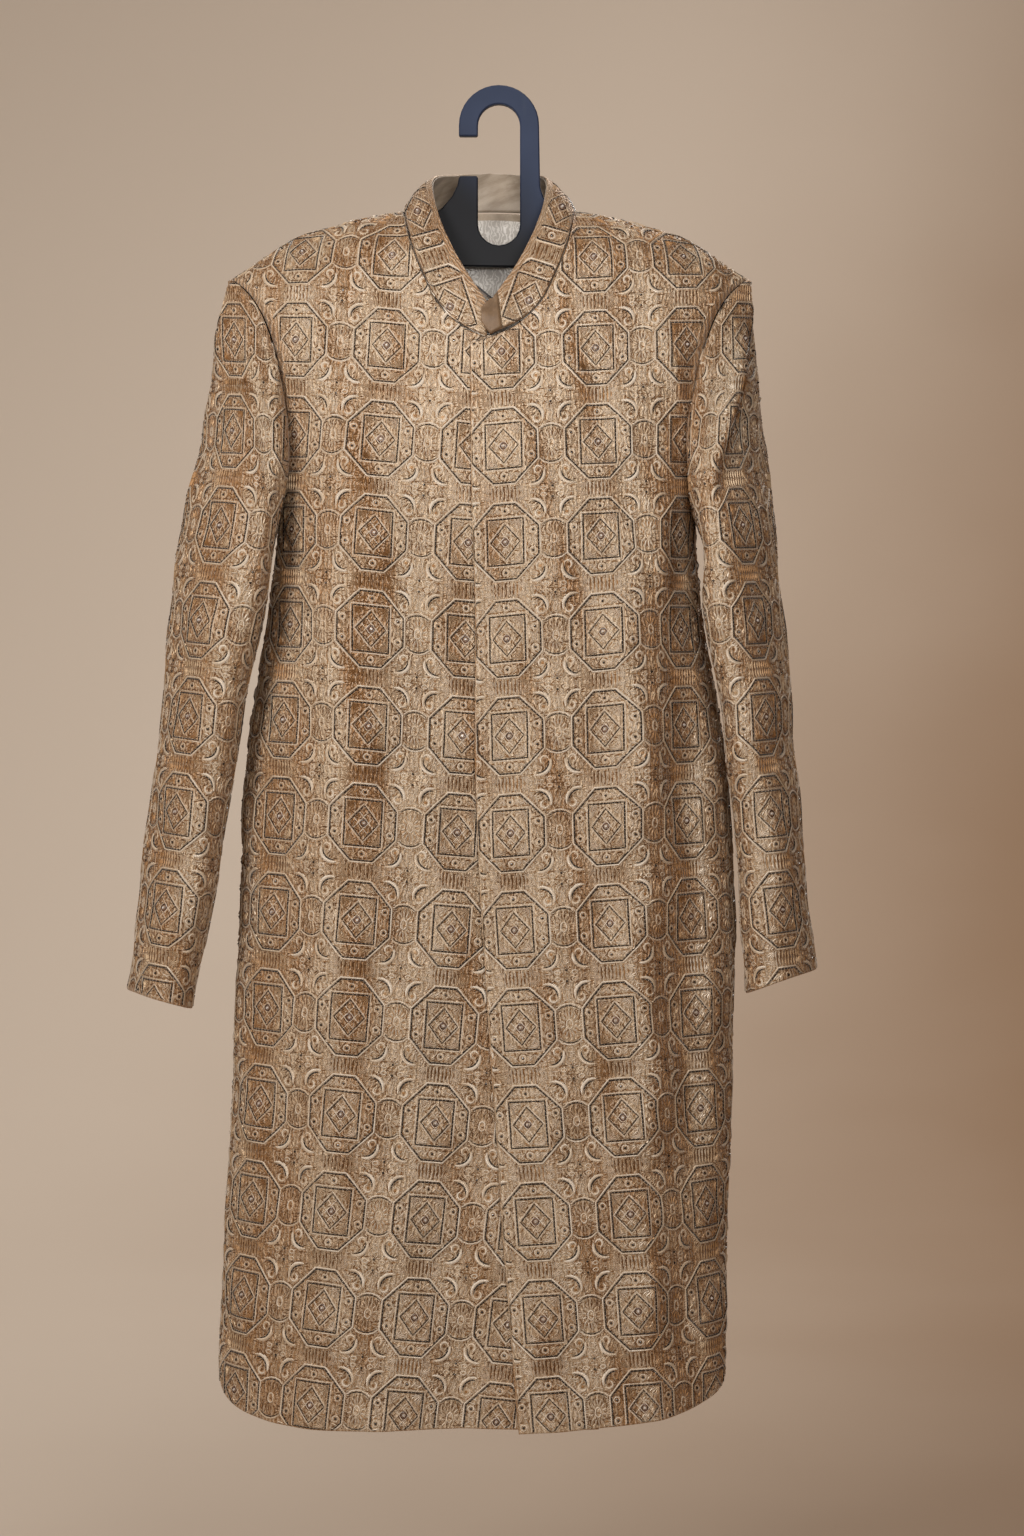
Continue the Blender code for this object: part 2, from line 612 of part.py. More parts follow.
def make_collar():
    """The band, its satin lining and the satin tab at its over end, on one set of columns."""
    front = np.linspace(COLLAR_SIDE_SHARE, 1, NECK_ROWS + 1)
    back = np.linspace(-COLLAR_SIDE_SHARE, COLLAR_SIDE_SHARE, COLLAR_BACK_COLUMNS + 1)
    share = np.concatenate([-front[:0:-1], back, front[1:], [COLLAR_END]])
    points, normals = collar_grid(share, COLLAR_ROWS)
    lap = LAP_LIFT * ramp(LAP_START, OVER_FULL, share)[None, :, None]
    band = points + normals * (COLLAR_LIFT + lap)
    wall("collar", band, normals, CLOTH, "brocade")
    inner = (band - normals * (CLOTH + SEAM_GAP))[:, 1:-3]
    wall("collar_lining", inner, normals[:, 1:-3], LINING, "satin_lining")
    ends = (band + normals * (LINING + SEAM_GAP))[:, -3:]
    ends[:, 0] = (ends[:, 0] + ends[:, 1]) / 2
    wall("collar_tab", ends, normals[:, -3:], LINING, "satin_tab")


def make_back_lining():
    columns, rows = LINING_GRID
    across = np.linspace(-1, 1, columns + 1)[None, :]
    down = np.linspace(0, 1, rows + 1)[:, None]
    half = YOKE_HALF_TOP + (YOKE_HALF - YOKE_HALF_TOP) * ramp(0, YOKE_WIDE_AT, down)
    x = COAT_CENTRE + across * half
    rise = BACK_NECK_RISE * (1 - (np.abs(x - COAT_CENTRE) / NECK_OUT) ** 2)
    neck = NECK_HEIGHT + rise - YOKE_BELOW_NECK
    height = neck * (1 - down) + YOKE_FOOT * down
    angle = angle_at(x, height)
    points = body_point("back", angle, height)
    normals = body_normal("back", angle, height)
    inner = points - normals * (CLOTH + LINING_SLACK)
    return wall("back_lining", inner, normals, LINING, "brocade_lining")


# ---------------------------------------------------------------- hanger
def arc(centre_x, centre_z, radius, start, end, count):
    """Points of an arc in the board's plane, in degrees from +X."""
    angles = np.radians(np.linspace(start, end, count))
    return [(centre_x + radius * math.cos(a), centre_z + radius * math.sin(a)) for a in angles]


def arm_edges(hand):
    """Upper and lower edge of an arm, from the board's neck to its tip."""
    out = np.linspace(ARM_START, ARM_OUT, 7)
    top = shoulder_height(hand * out) - ARM_CLEARANCE
    taper = ramp(ARM_TAPER, ARM_OUT, out)
    low = np.minimum(BOARD_FOOT, top - ARM_NARROWEST)
    low = top + (low - top) * (1 - taper) - ARM_DEEP * taper
    upper = list(zip(hand * out, top))
    lower = list(zip(hand * out, low))
    middle = (upper[-1][1] + lower[-1][1]) / 2
    radius = (upper[-1][1] - lower[-1][1]) / 2
    tip = [
        (hand * (ARM_OUT + 0.5 * radius * math.cos(a)), middle + radius * math.sin(a))
        for a in np.radians((60, 30, 0, -30, -60))
    ]
    return upper + tip + lower[::-1]


def make_hanger():
    centre = -HOOK_INSIDE
    outside = HOOK_INSIDE + STRIP
    outline = arc(0, centre, outside, 0, 180, 19)
    outline += [(-outside, centre - TIP_DROP), (-HOOK_INSIDE, centre - TIP_DROP)]
    outline += arc(0, centre, HOOK_INSIDE, 180, 0, 15)
    outline += arc(0, NOTCH_CENTRE, NOTCH_HALF, 0, -180, 11)
    outline += [(-NOTCH_HALF, HORN_TOP - HORN_CUT), (-NOTCH_HALF - HORN_CUT, HORN_TOP)]
    outline += [(-outside + HORN_CUT, HORN_TOP), (-outside, HORN_TOP - HORN_CUT)]
    outline += LEFT_NECK
    outline += arm_edges(-1)
    outline += arm_edges(1)[::-1]
    outline += RIGHT_NECK
    work = bmesh.new()
    corners = [work.verts.new((x, -BOARD / 2, z)) for x, z in outline]
    face = work.faces.new(corners)
    pushed = bmesh.ops.extrude_face_region(work, geom=[face])
    moved = [item for item in pushed["geom"] if isinstance(item, bmesh.types.BMVert)]
    bmesh.ops.translate(work, verts=moved, vec=(0, BOARD, 0))
    bmesh.ops.recalc_face_normals(work, faces=work.faces)
    mesh = bpy.data.meshes.new("hanger")
    work.to_mesh(mesh)
    work.free()
    piece = new_object("hanger", mesh, "slate_plastic")
    bevel = piece.modifiers.new("edge", "BEVEL")
    bevel.width = HANGER_BEVEL
    bevel.segments = 1
    bevel.limit_method = "ANGLE"
    bevel.angle_limit = math.radians(60)
    return piece


# ---------------------------------------------------------------- build
def make_materials():
    made = {}
    for name, (colour, roughness, metallic) in COLOURS.items():
        material = bpy.data.materials.new(name)
        material.use_nodes = True
        shader = material.node_tree.nodes["Principled BSDF"]
        shader.inputs["Base Color"].default_value = colour
        shader.inputs["Roughness"].default_value = roughness
        shader.inputs["Metallic"].default_value = metallic
        made[name] = material
    return made


for old in list(bpy.data.objects):
    bpy.data.objects.remove(old, do_unlink=True)
MATERIALS = make_materials()
make_front("front_right", -1)
make_front("front_left", 1)
make_back()
make_sleeve("sleeve_right", RIGHT_SLEEVE, -1)
make_sleeve("sleeve_left", LEFT_SLEEVE, 1)
make_collar()
make_back_lining()
make_hanger()
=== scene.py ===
"""Looks for the sherwani coat on its hanger: brocade panels, laid with cord, beads and stones.

Metres, +Z up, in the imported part's own frame: the coat's front faces -Y, the wearer's left is
on +X, and the origin is the underside of the hook's crown. Each panel is a thin wall on the
same hanging form as its solid. A chart on the panel says where a place of the flat cloth lies,
and the embroidery is drawn on the flat cloth and then laid on the panel through its chart.
"""
import math

import bpy
import numpy as np
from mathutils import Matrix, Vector
from mathutils.kdtree import KDTree


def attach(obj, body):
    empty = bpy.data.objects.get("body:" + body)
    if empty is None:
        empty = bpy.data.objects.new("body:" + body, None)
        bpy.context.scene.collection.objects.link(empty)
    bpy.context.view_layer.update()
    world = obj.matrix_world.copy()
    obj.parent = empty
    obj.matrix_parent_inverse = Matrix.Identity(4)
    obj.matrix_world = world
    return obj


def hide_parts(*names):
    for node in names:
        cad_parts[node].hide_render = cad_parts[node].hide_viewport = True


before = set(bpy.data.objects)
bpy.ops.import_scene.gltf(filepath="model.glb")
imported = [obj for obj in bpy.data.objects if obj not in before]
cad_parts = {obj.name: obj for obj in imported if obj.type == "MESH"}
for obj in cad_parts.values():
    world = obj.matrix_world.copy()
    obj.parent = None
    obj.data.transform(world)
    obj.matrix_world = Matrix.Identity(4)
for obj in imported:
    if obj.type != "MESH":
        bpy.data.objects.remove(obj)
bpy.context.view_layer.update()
RANDOM = np.random.default_rng(11)


# ---------------------------------------------------------------- driving sizes
CLOTH = 0.002                # embroidered brocade with its interlining
LINING = 0.001               # satin lining
LINING_SLACK = 0.0035        # the back lining hangs this far inside the back
SEAM_GAP = 0.0003            # air between two pieces that meet at a seam
LAP_LIFT = CLOTH + 0.0020    # how far the over front stands off the under front
COAT_CENTRE = -0.0085        # the coat hangs a little to one side of the hook

SHOULDER_OUT = 0.2325        # shoulder point, from the coat's centre line
NECK_OUT = 0.0775            # neck point, from the coat's centre line
NECK_HEIGHT = -0.097         # height of both neck points
NECK_RISE = 0.060            # how far the form would rise between the neck points
BACK_NECK_RISE = 0.006       # the back neck seam's middle above the neck points
ROLL = 0.060                 # drop over which the cloth rolls off the shoulder
ROLL_POWER = 0.60
SQUARENESS = 0.85            # below 1 the sections are squarer than an ellipse

ARMHOLE_DROP = 0.209         # underarm point below the shoulder point
ARMHOLE_TURN = 0.150         # below this drop the seams turn in to the underarm point
LAP_WIDTH = 0.070            # width of the under front that the over front hides
LAP_FADE = 0.045             # width over which the over front settles back on the form
LAP_FULL = -0.160            # the over front stands fully off the under one below this
SLIT_TOP = -0.930            # side slits run from here to the hem
SLIT_OPEN = 0.0030           # half the slit's opening at the hem
HEM = -1.180                 # height of the hem, about which the panels' own hems vary

# drop of the shoulder seam below the neck point, at distances out from the neck point
SHOULDER_COLUMNS = ("out", "drop")
SHOULDER_SEAM = (
    (0.000, 0.000),
    (0.035, 0.0055),
    (0.062, 0.0130),
    (0.092, 0.0215),
    (0.112, 0.0320),
    (0.138, 0.0500),
    (0.155, 0.0605),
    (0.200, 0.0950),
)

# sections of the hanging body: side edges, and how far front and back stand out
BODY_COLUMNS = ("height", "left", "right", "front", "back")
BODY_SECTIONS = (
    (-0.060, -0.2420, 0.2250, 0.036, 0.042),
    (-0.160, -0.2420, 0.2250, 0.052, 0.056),
    (-0.230, -0.2250, 0.2060, 0.066, 0.068),
    (-0.300, -0.2060, 0.1870, 0.078, 0.078),
    (-0.370, -0.1990, 0.1780, 0.088, 0.085),
    (-0.450, -0.2060, 0.1820, 0.095, 0.089),
    (-0.570, -0.2250, 0.2020, 0.098, 0.090),
    (-0.690, -0.2320, 0.2110, 0.098, 0.091),
    (-0.830, -0.2370, 0.2110, 0.098, 0.093),
    (-0.990, -0.2450, 0.2060, 0.098, 0.096),
    (-1.200, -0.2550, 0.2030, 0.098, 0.100),
)

# soft vertical folds: side, x at the top and at the hem, heights at which it starts and is
# full, half its width and how far it stands out
BODY_FOLDS = (
    ("front", -0.130, -0.150, -0.200, -0.450, 0.055, 0.010),
    ("front", -0.032, -0.030, -0.230, -0.520, 0.050, -0.015),
    ("front", 0.112, 0.136, -0.300, -0.560, 0.030, 0.017),
    ("back", -0.110, -0.125, -0.300, -0.600, 0.050, 0.010),
    ("back", -0.008, -0.020, -0.260, -0.600, 0.060, -0.014),
    ("back", 0.090, 0.100, -0.300, -0.600, 0.050, 0.010),
)

# front neck seam, from the coat's centre line
NECK_COLUMNS = ("out", "height")
FRONT_NECK = (
    (0.0775, -0.097),
    (0.0700, -0.132),
    (0.0580, -0.163),
    (0.0450, -0.188),
    (0.0250, -0.2075),
    (0.0020, -0.2190),
)

# armhole seams: drop below the shoulder point, distances from the coat's centre line
ARMHOLE_COLUMNS = ("drop", "front", "back")
ARMHOLE = (
    (0.000, 0.2325, 0.2325),
    (0.012, 0.2190, 0.2260),
    (0.030, 0.2060, 0.2190),
    (0.055, 0.1950, 0.2120),
    (0.085, 0.1885, 0.2070),
    (0.120, 0.1850, 0.2040),
    (0.160, 0.1855, 0.2025),
)

# the over front's edge, from the neck to the hem
EDGE_COLUMNS = ("height", "x")
OVER_EDGE = (
    (-0.222, -0.0250),
    (-0.350, -0.0240),
    (-0.463, -0.0205),
    (-0.610, -0.0200),
    (-0.803, -0.0100),
    (-0.935, -0.0005),
    (-1.035, 0.0060),
    (-1.182, 0.0180),
)

# hem of each panel: height at its inner edge, height where its rounded corner begins, height
# where the side edge ends, and how many degrees round the form the corner reaches
HEMS = {
    "front_right": (-1.1790, -1.1800, -1.115, 58),
    "front_left": (-1.1825, -1.1600, -1.126, 44),
    "back": (-1.1740, -1.1740, -1.120, 50),
}
CORNER_POWER = 2.0           # 2 gives each corner an elliptical round

# collar's top edge: share of the band's length from the middle of the back, distance from
# the coat's centre line, depth and height
COLLAR_COLUMNS = ("share", "out", "y", "height")
COLLAR_TOP = (
    (0.00, 0.0000, 0.0390, -0.0550),
    (0.18, 0.0290, 0.0330, -0.0575),
    (0.34, 0.0500, 0.0070, -0.0650),
    (0.50, 0.0500, -0.0170, -0.0860),
    (0.66, 0.0410, -0.0330, -0.1160),
    (0.84, 0.0230, -0.0470, -0.1530),
    (1.00, 0.0020, -0.0570, -0.1850),
)
COLLAR_SIDE_SHARE = 0.34     # share at which the band passes the neck point
NECK_MIDDLE = (-0.010, -0.120)  # y and height of a point inside the band
COLLAR_OVERRUN = 0.13        # how far past the middle a share of 1 more would reach
COLLAR_END = 1.07            # share at which the over end of the band stops
COLLAR_BULGE = 0.0025        # outward crown of the band between its two edges
COLLAR_LIFT = 0.0012         # the band's foot stands this far off the neck seam
COLLAR_FOOT = 0.035          # the band's foot starts this share of its height above the seam
OVER_FOOT = 0.035            # and this much more where it passes over the over front
OVER_START = 0.75            # share at which the band starts to pass over the over front
OVER_FULL = 0.95             # share at which it has done so
LAP_START = 0.80             # share at which the band starts to rise over its other end

# sleeve sections: outer and inner point seen from the front, depth and its middle
SLEEVE_COLUMNS = ("outer_x", "outer_z", "inner_x", "inner_z", "depth", "middle_y", "turn")
RIGHT_SLEEVE = (
    (-0.2410, -0.1565, -0.2030, -0.3670, 0.066, 0.000, 0.00),
    (-0.2530, -0.1850, -0.2000, -0.3790, 0.069, -0.005, 0.22),
    (-0.2620, -0.2250, -0.1975, -0.3900, 0.070, -0.012, 0.36),
    (-0.2700, -0.2740, -0.1970, -0.4010, 0.068, -0.020, 0.42),
    (-0.2780, -0.3240, -0.1990, -0.4130, 0.066, -0.027, 0.44),
    (-0.2870, -0.3800, -0.2030, -0.4300, 0.063, -0.032, 0.42),
    (-0.2960, -0.4600, -0.2105, -0.4730, 0.060, -0.034, 0.38),
    (-0.3040, -0.5550, -0.2265, -0.5540, 0.057, -0.032, 0.32),
    (-0.3140, -0.6400, -0.2420, -0.6400, 0.054, -0.030, 0.26),
    (-0.3240, -0.7200, -0.2560, -0.7250, 0.052, -0.030, 0.24),
    (-0.3335, -0.7980, -0.2725, -0.8140, 0.050, -0.030, 0.22),
)
LEFT_SLEEVE = (
    (0.2240, -0.1575, 0.1840, -0.3670, 0.066, 0.000, 0.00),
    (0.2310, -0.1850, 0.1820, -0.3790, 0.068, -0.005, 0.22),
    (0.2360, -0.2250, 0.1795, -0.3900, 0.068, -0.012, 0.36),
    (0.2410, -0.2740, 0.1790, -0.4010, 0.066, -0.022, 0.42),
    (0.2450, -0.3240, 0.1790, -0.4130, 0.064, -0.032, 0.44),
    (0.2490, -0.3800, 0.1800, -0.4300, 0.062, -0.040, 0.42),
    (0.2540, -0.4500, 0.1815, -0.4680, 0.060, -0.042, 0.40),
    (0.2630, -0.5400, 0.1945, -0.5390, 0.057, -0.040, 0.34),
    (0.2710, -0.6400, 0.2080, -0.6400, 0.054, -0.036, 0.28),
    (0.2780, -0.7200, 0.2155, -0.7250, 0.052, -0.034, 0.26),
    (0.2840, -0.7800, 0.2205, -0.8000, 0.050, -0.032, 0.24),
)
SLEEVE_CLEARANCE = 0.0030    # air between a sleeve and the body's side
SLEEVE_SET_OUT = 0.0014      # the sleeve starts this far out from the armhole's edge
CAP_FADE = 0.42              # share of the sleeve over which the armhole's curve dies away
LEAST_REACH = 0.018          # a sleeve's section is never narrower than twice this

# lining of the back's neck
YOKE_HALF_TOP = 0.062        # half its width at the neck
YOKE_HALF = 0.100            # half its width below
YOKE_WIDE_AT = 0.35          # share of its height at which it is that wide
YOKE_FOOT = -0.330           # height of its lower edge
YOKE_BELOW_NECK = 0.006      # its upper edge below the back neck seam
YOKE_WAVE = 0.0007           # height of its low waves

ARMHOLE_ROWS = 32            # grid rows along each armhole
NECK_ROWS = 28               # grid rows along each side of the front neck
COLLAR_BACK_COLUMNS = 48

# ---------------------------------------------------------------- small tools
def column(table, names, name):
    """One named column of a table."""
    return np.array([row[names.index(name)] for row in table], dtype=float)


def smooth(stations, values, at):
    """The smooth curve through (stations, values), read at the places asked for."""
    stations = np.asarray(stations, float)
    values = np.asarray(values, float)
    if stations[0] > stations[-1]:
        stations = stations[::-1]
        values = values[::-1]
    steps = np.diff(stations)
    slopes = np.diff(values) / steps
    tangents = np.empty_like(values)
    tangents[1:-1] = (slopes[:-1] * steps[1:] + slopes[1:] * steps[:-1]) / (steps[:-1] + steps[1:])
    tangents[0] = slopes[0]
    tangents[-1] = slopes[-1]
    at = np.clip(np.asarray(at, float), stations[0], stations[-1])
    place = np.clip(np.searchsorted(stations, at, side="right") - 1, 0, len(steps) - 1)
    step = steps[place]
    t = (at - stations[place]) / step
    low = values[place] * (1 + 2 * t) * (1 - t) ** 2 + tangents[place] * step * t * (1 - t) ** 2
    high = values[place + 1] * t * t * (3 - 2 * t) + tangents[place + 1] * step * t * t * (t - 1)
    return low + high


def read(table, names, name, by, at):
    """The smooth curve of one column of a table over another, read at the places asked for."""
    return smooth(column(table, names, by), column(table, names, name), at)


def ramp(low, high, at):
    """0 before low, 1 after high, and an even rise between them."""
    t = np.clip((np.asarray(at, float) - low) / (high - low), 0, 1)
    return t * t * (3 - 2 * t)


def unit(vectors):
    """The vectors, each made one long."""
    return vectors / np.linalg.norm(vectors, axis=-1, keepdims=True)


# ---------------------------------------------------------------- the hanging body
def shoulder_height(x):
    """Height of the shoulder seam at x, rising between the neck points as the form would."""
    out = np.abs(x - COAT_CENTRE)
    drop = read(SHOULDER_SEAM, SHOULDER_COLUMNS, "drop", "out", out - NECK_OUT)
    rise = NECK_RISE * np.clip(1 - (out / NECK_OUT) ** 2, 0, None)
    return NECK_HEIGHT - drop + rise


def section_sizes(height):
    """Middle, half width, front depth and back depth of the body at a height."""
    left, right, front, back = (
        read(BODY_SECTIONS, BODY_COLUMNS, name, "height", height) for name in BODY_COLUMNS[1:]
    )
    return (left + right) / 2, (right - left) / 2, front, back


def fold_out(side, x, height):
    """How far the folds of one side stand out at a place."""
    total = np.zeros(np.broadcast(x, height).shape)
    for where, top_x, hem_x, starts, full, half_width, out in BODY_FOLDS:
        if where != side:
            continue
        down = np.clip((starts - height) / (starts - HEM), 0, 1)
        middle = top_x + (hem_x - top_x) * down
        total = total + out * ramp(-starts, -full, -height) * np.exp(-((x - middle) / half_width) ** 2)
    return total


def body_point(side, angle, height):
    """A point of the body: angle is -90 degrees at the left side seam and +90 at the right."""
    angle, height = np.broadcast_arrays(np.asarray(angle, float), np.asarray(height, float))
    middle, half, front, back = section_sizes(height)
    x = middle + half * np.sin(angle)
    facing = -1 if side == "front" else 1
    depth = front if side == "front" else back
    across = np.abs(np.cos(angle))
    drop = (shoulder_height(x) - height) / ROLL
    roll = np.sign(drop) * (1 - (1 - np.clip(np.abs(drop), 0, 1)) ** 2) ** ROLL_POWER
    slit = SLIT_OPEN * ramp(-SLIT_TOP, -HEM, -height)
    out = depth * across ** SQUARENESS * roll + fold_out(side, x, height) * across * np.abs(roll)
    y = facing * (SEAM_GAP / 2 + slit + out)
    return np.stack([x, y, height], axis=-1)


def body_normal(side, angle, height):
    """Outward normal of the body's surface."""
    tiny = 1e-6
    across = body_point(side, angle + tiny, height) - body_point(side, angle - tiny, height)
    down = body_point(side, angle, height - tiny) - body_point(side, angle, height + tiny)
    normal = unit(np.cross(across, down))
    if side == "front":
        return -normal if np.mean(normal[..., 1]) > 0 else normal
    return -normal if np.mean(normal[..., 1]) < 0 else normal


def angle_at(x, height):
    """The section angle of a place given by its x."""
    middle, half = section_sizes(height)[:2]
    return np.arcsin(np.clip((x - middle) / half, -1, 1))


def over_edge_x(height):
    """x of the over front's edge at a height."""
    return read(OVER_EDGE, EDGE_COLUMNS, "x", "height", height)


def grain_x(panel, height):
    """x of a panel's grain line at a height."""
    return read(GRAIN[panel], GRAIN_COLUMNS, "x", "height", height)


# ---------------------------------------------------------------- outlines of the panels
def armhole_seam(side, hand, count):
    """Angles and heights along an armhole, from the shoulder point to the underarm."""
    share = (1 - np.cos(np.linspace(0, math.pi, count))) / 2
    drop = share * ARMHOLE_DROP
    out = read(ARMHOLE, ARMHOLE_COLUMNS, side, "drop", drop)
    top = shoulder_height(COAT_CENTRE + hand * SHOULDER_OUT)
    height = top - drop
    angle = angle_at(COAT_CENTRE + hand * out, height)
    low = ramp(ARMHOLE_TURN, ARMHOLE_DROP, drop)
    return angle * (1 - low) + hand * math.pi / 2 * low, height


def outer_edge(side, hand, side_end, rows):
    """Armhole, then side seam and slit, from the shoulder point down."""
    angle, height = armhole_seam(side, hand, ARMHOLE_ROWS + 1)
    below = np.linspace(height[-1], side_end, rows - ARMHOLE_ROWS + 1)[1:]
    return np.append(angle, np.full(len(below), hand * math.pi / 2)), np.append(height, below)


def front_neck(share):
    """Distance out and height along the front neck seam, from the neck point to its middle."""
    order = np.linspace(0, 1, len(FRONT_NECK))
    return [smooth(order, column(FRONT_NECK, NECK_COLUMNS, name), share) for name in NECK_COLUMNS]


def inner_edge(hand, rows):
    """Front neck seam, then the panel's own front edge, from the neck point down."""
    out, height = front_neck(np.linspace(0, 1, NECK_ROWS + 1))
    x = COAT_CENTRE + hand * out
    foot = HEMS["front_left" if hand > 0 else "front_right"][0]
    below = np.linspace(height[-1], foot, rows - NECK_ROWS + 1)[1:]
    edge = over_edge_x(below)
    if hand > 0:
        height[-1], x[-1] = OVER_EDGE[0]
    else:
        edge = edge + LAP_WIDTH
    x = np.append(x, edge)
    height = np.append(height, below)
    return angle_at(x, height), height


def shoulder_edge(hand, count):
    """Shoulder seam from the neck point out to the shoulder point."""
    x = COAT_CENTRE + hand * np.linspace(NECK_OUT, SHOULDER_OUT, count)
    height = shoulder_height(x)
    return angle_at(x, height), height


def hem_edge(panel, start_angle, hand, count):
    """Hem of a panel from an angle out to its side edge, round the corner."""
    inner, corner, side_end, span = HEMS[panel]
    end = hand * math.pi / 2
    share = np.sin(np.linspace(0, math.pi / 2, count))
    angle = start_angle + (end - start_angle) * share
    into = np.clip(1 - np.abs(end - angle) / math.radians(span), 0, 1)
    level = inner + (corner - inner) * np.abs(angle - start_angle) / abs(end - start_angle)
    return angle, level + (side_end - level) * (1 - np.sqrt(1 - into ** CORNER_POWER))


def patch(top, bottom, first, last):
    """Fill the four edges of a panel, each a pair of angles and heights."""
    filled = []
    for upper, lower, left, right in zip(top, bottom, first, last):
        across = np.linspace(0, 1, len(upper))[None, :]
        down = np.linspace(0, 1, len(left))[:, None]
        edges = (1 - down) * upper[None, :] + down * lower[None, :]
        sides = (1 - across) * left[:, None] + across * right[:, None]
        corners = (
            (1 - down) * ((1 - across) * upper[0] + across * upper[-1])
            + down * ((1 - across) * lower[0] + across * lower[-1])
        )
        filled.append(edges + sides - corners)
    return filled


def front_patch(hand, columns, rows):
    """Angles and heights of a front panel, from its front edge to its side."""
    panel = "front_left" if hand > 0 else "front_right"
    first = inner_edge(hand, rows)
    last = outer_edge("front", hand, HEMS[panel][2], rows)
    top = shoulder_edge(hand, columns + 1)
    bottom = hem_edge(panel, first[0][-1], hand, columns + 1)
    return patch(top, bottom, first, last)


def back_patch(columns, rows):
    """Angles and heights of the back, from its left side to its right."""
    first = outer_edge("back", -1, HEMS["back"][2], rows)
    last = outer_edge("back", 1, HEMS["back"][2], rows)
    share = np.sin(np.linspace(-math.pi / 2, math.pi / 2, columns + 1))
    out = share * SHOULDER_OUT
    x = COAT_CENTRE + out
    neck = NECK_HEIGHT + BACK_NECK_RISE * (1 - (np.abs(out) / NECK_OUT) ** 2)
    height = np.where(np.abs(out) < NECK_OUT, neck, shoulder_height(x))
    top = (angle_at(x, height), height)
    halves = [hem_edge("back", 0.0, hand, columns // 2 + 1) for hand in (-1, 1)]
    bottom = [np.append(left[::-1], right[1:]) for left, right in zip(*halves)]
    return patch(top, bottom, first, last)


# ---------------------------------------------------------------- sleeves
def armhole_ring(hand, count):
    """The armhole as one ring: down the front to the underarm and up the back."""
    half = count // 2
    turn = np.linspace(0, 2 * math.pi, count, endpoint=False)
    front = body_point("front", *armhole_seam("front", hand, half + 1))
    back = body_point("back", *armhole_seam("back", hand, half + 1))
    ring = np.concatenate([front[:-1], back[::-1][:-1]])
    return turn, ring


def side_of_body(y, height):
    """Distance of the body's surface from its middle, at a depth y and a height."""
    angle = np.linspace(0, math.pi / 2, 60)
    reach = np.zeros(np.shape(y))
    for place in np.ndindex(np.shape(y)):
        side = "front" if y[place] < 0 else "back"
        line = body_point(side, angle, height[place])
        reach[place] = np.interp(-abs(y[place]), -np.abs(line[:, 1]), line[:, 0], left=0.0)
    return reach


def keep_off_body(rings, hand):
    """Push a sleeve's rings out, where they would come too near the body."""
    middle = section_sizes(rings[..., 2])[0]
    right_side = side_of_body(rings[..., 1], rings[..., 2])
    reach = right_side if hand > 0 else 2 * middle - right_side
    nearest = hand * reach + SLEEVE_CLEARANCE
    pushed = rings.copy()
    pushed[1:, :, 0] = hand * np.maximum(hand * rings[..., 0], nearest)[1:]
    return pushed


def sleeve_rings(table, hand, count, rows):
    """Rings down a sleeve: leaning ellipses, with the armhole's own curve at the top."""
    turn, hole = armhole_ring(hand, count)
    share = np.linspace(0, 1, len(table))
    down = np.linspace(0, 1, rows + 1)
    sizes = {
        name: smooth(share, column(table, SLEEVE_COLUMNS, name), down)[:, None]
        for name in SLEEVE_COLUMNS
    }
    aside = sizes["depth"] * sizes["turn"]
    reach = (sizes["outer_x"] - sizes["inner_x"]) / 2
    reach = np.sign(reach) * np.sqrt(np.maximum(reach ** 2 - aside ** 2, LEAST_REACH ** 2))
    rise = (sizes["outer_z"] - sizes["inner_z"]) / 2
    x = (sizes["outer_x"] + sizes["inner_x"]) / 2 + reach * np.cos(turn) - hand * aside * np.sin(turn)
    y = sizes["middle_y"] - sizes["depth"] * np.sin(turn)
    z = (sizes["outer_z"] + sizes["inner_z"]) / 2 + rise * np.cos(turn)
    rings = np.stack([x, y, z], axis=-1)
    cap = 1 - ramp(0, CAP_FADE, down)[:, None, None]
    hole = hole + np.array([hand * SLEEVE_SET_OUT, 0, 0])
    return keep_off_body(rings + (hole - rings[0])[None] * cap, hand)


def ring_normals(rings):
    """Outward normals of a tube given as rings."""
    around = np.roll(rings, -1, axis=1) - np.roll(rings, 1, axis=1)
    along = np.gradient(rings, axis=0)
    normals = unit(np.cross(around, along))
    outward = rings - rings.mean(axis=1, keepdims=True)
    return normals * np.sign(np.sum(normals * outward, axis=-1, keepdims=True))


# ---------------------------------------------------------------- collar
def overrun(share):
    """How far the over end of the band runs past the coat's centre line."""
    return COLLAR_OVERRUN * np.clip(share - 1, 0, None)


def neck_seam(share):
    """Points of the neck seam: share is -1 and 1 at the front ends, 0 at the back."""
    hand = np.where(share < 0, -1.0, 1.0)
    along = np.abs(share)
    out, height = front_neck(np.clip((along - COLLAR_SIDE_SHARE) / (1 - COLLAR_SIDE_SHARE), 0, 1))
    x = COAT_CENTRE + hand * (out - overrun(share))
    front = body_point("front", angle_at(x, height), height)
    back_out = NECK_OUT * np.sin(np.clip(along / COLLAR_SIDE_SHARE, 0, 1) * math.pi / 2)
    back_height = NECK_HEIGHT + BACK_NECK_RISE * (1 - (back_out / NECK_OUT) ** 2)
    back = body_point("back", angle_at(COAT_CENTRE + hand * back_out, back_height), back_height)
    behind = (along < COLLAR_SIDE_SHARE)[..., None]
    return np.where(behind, back, front)


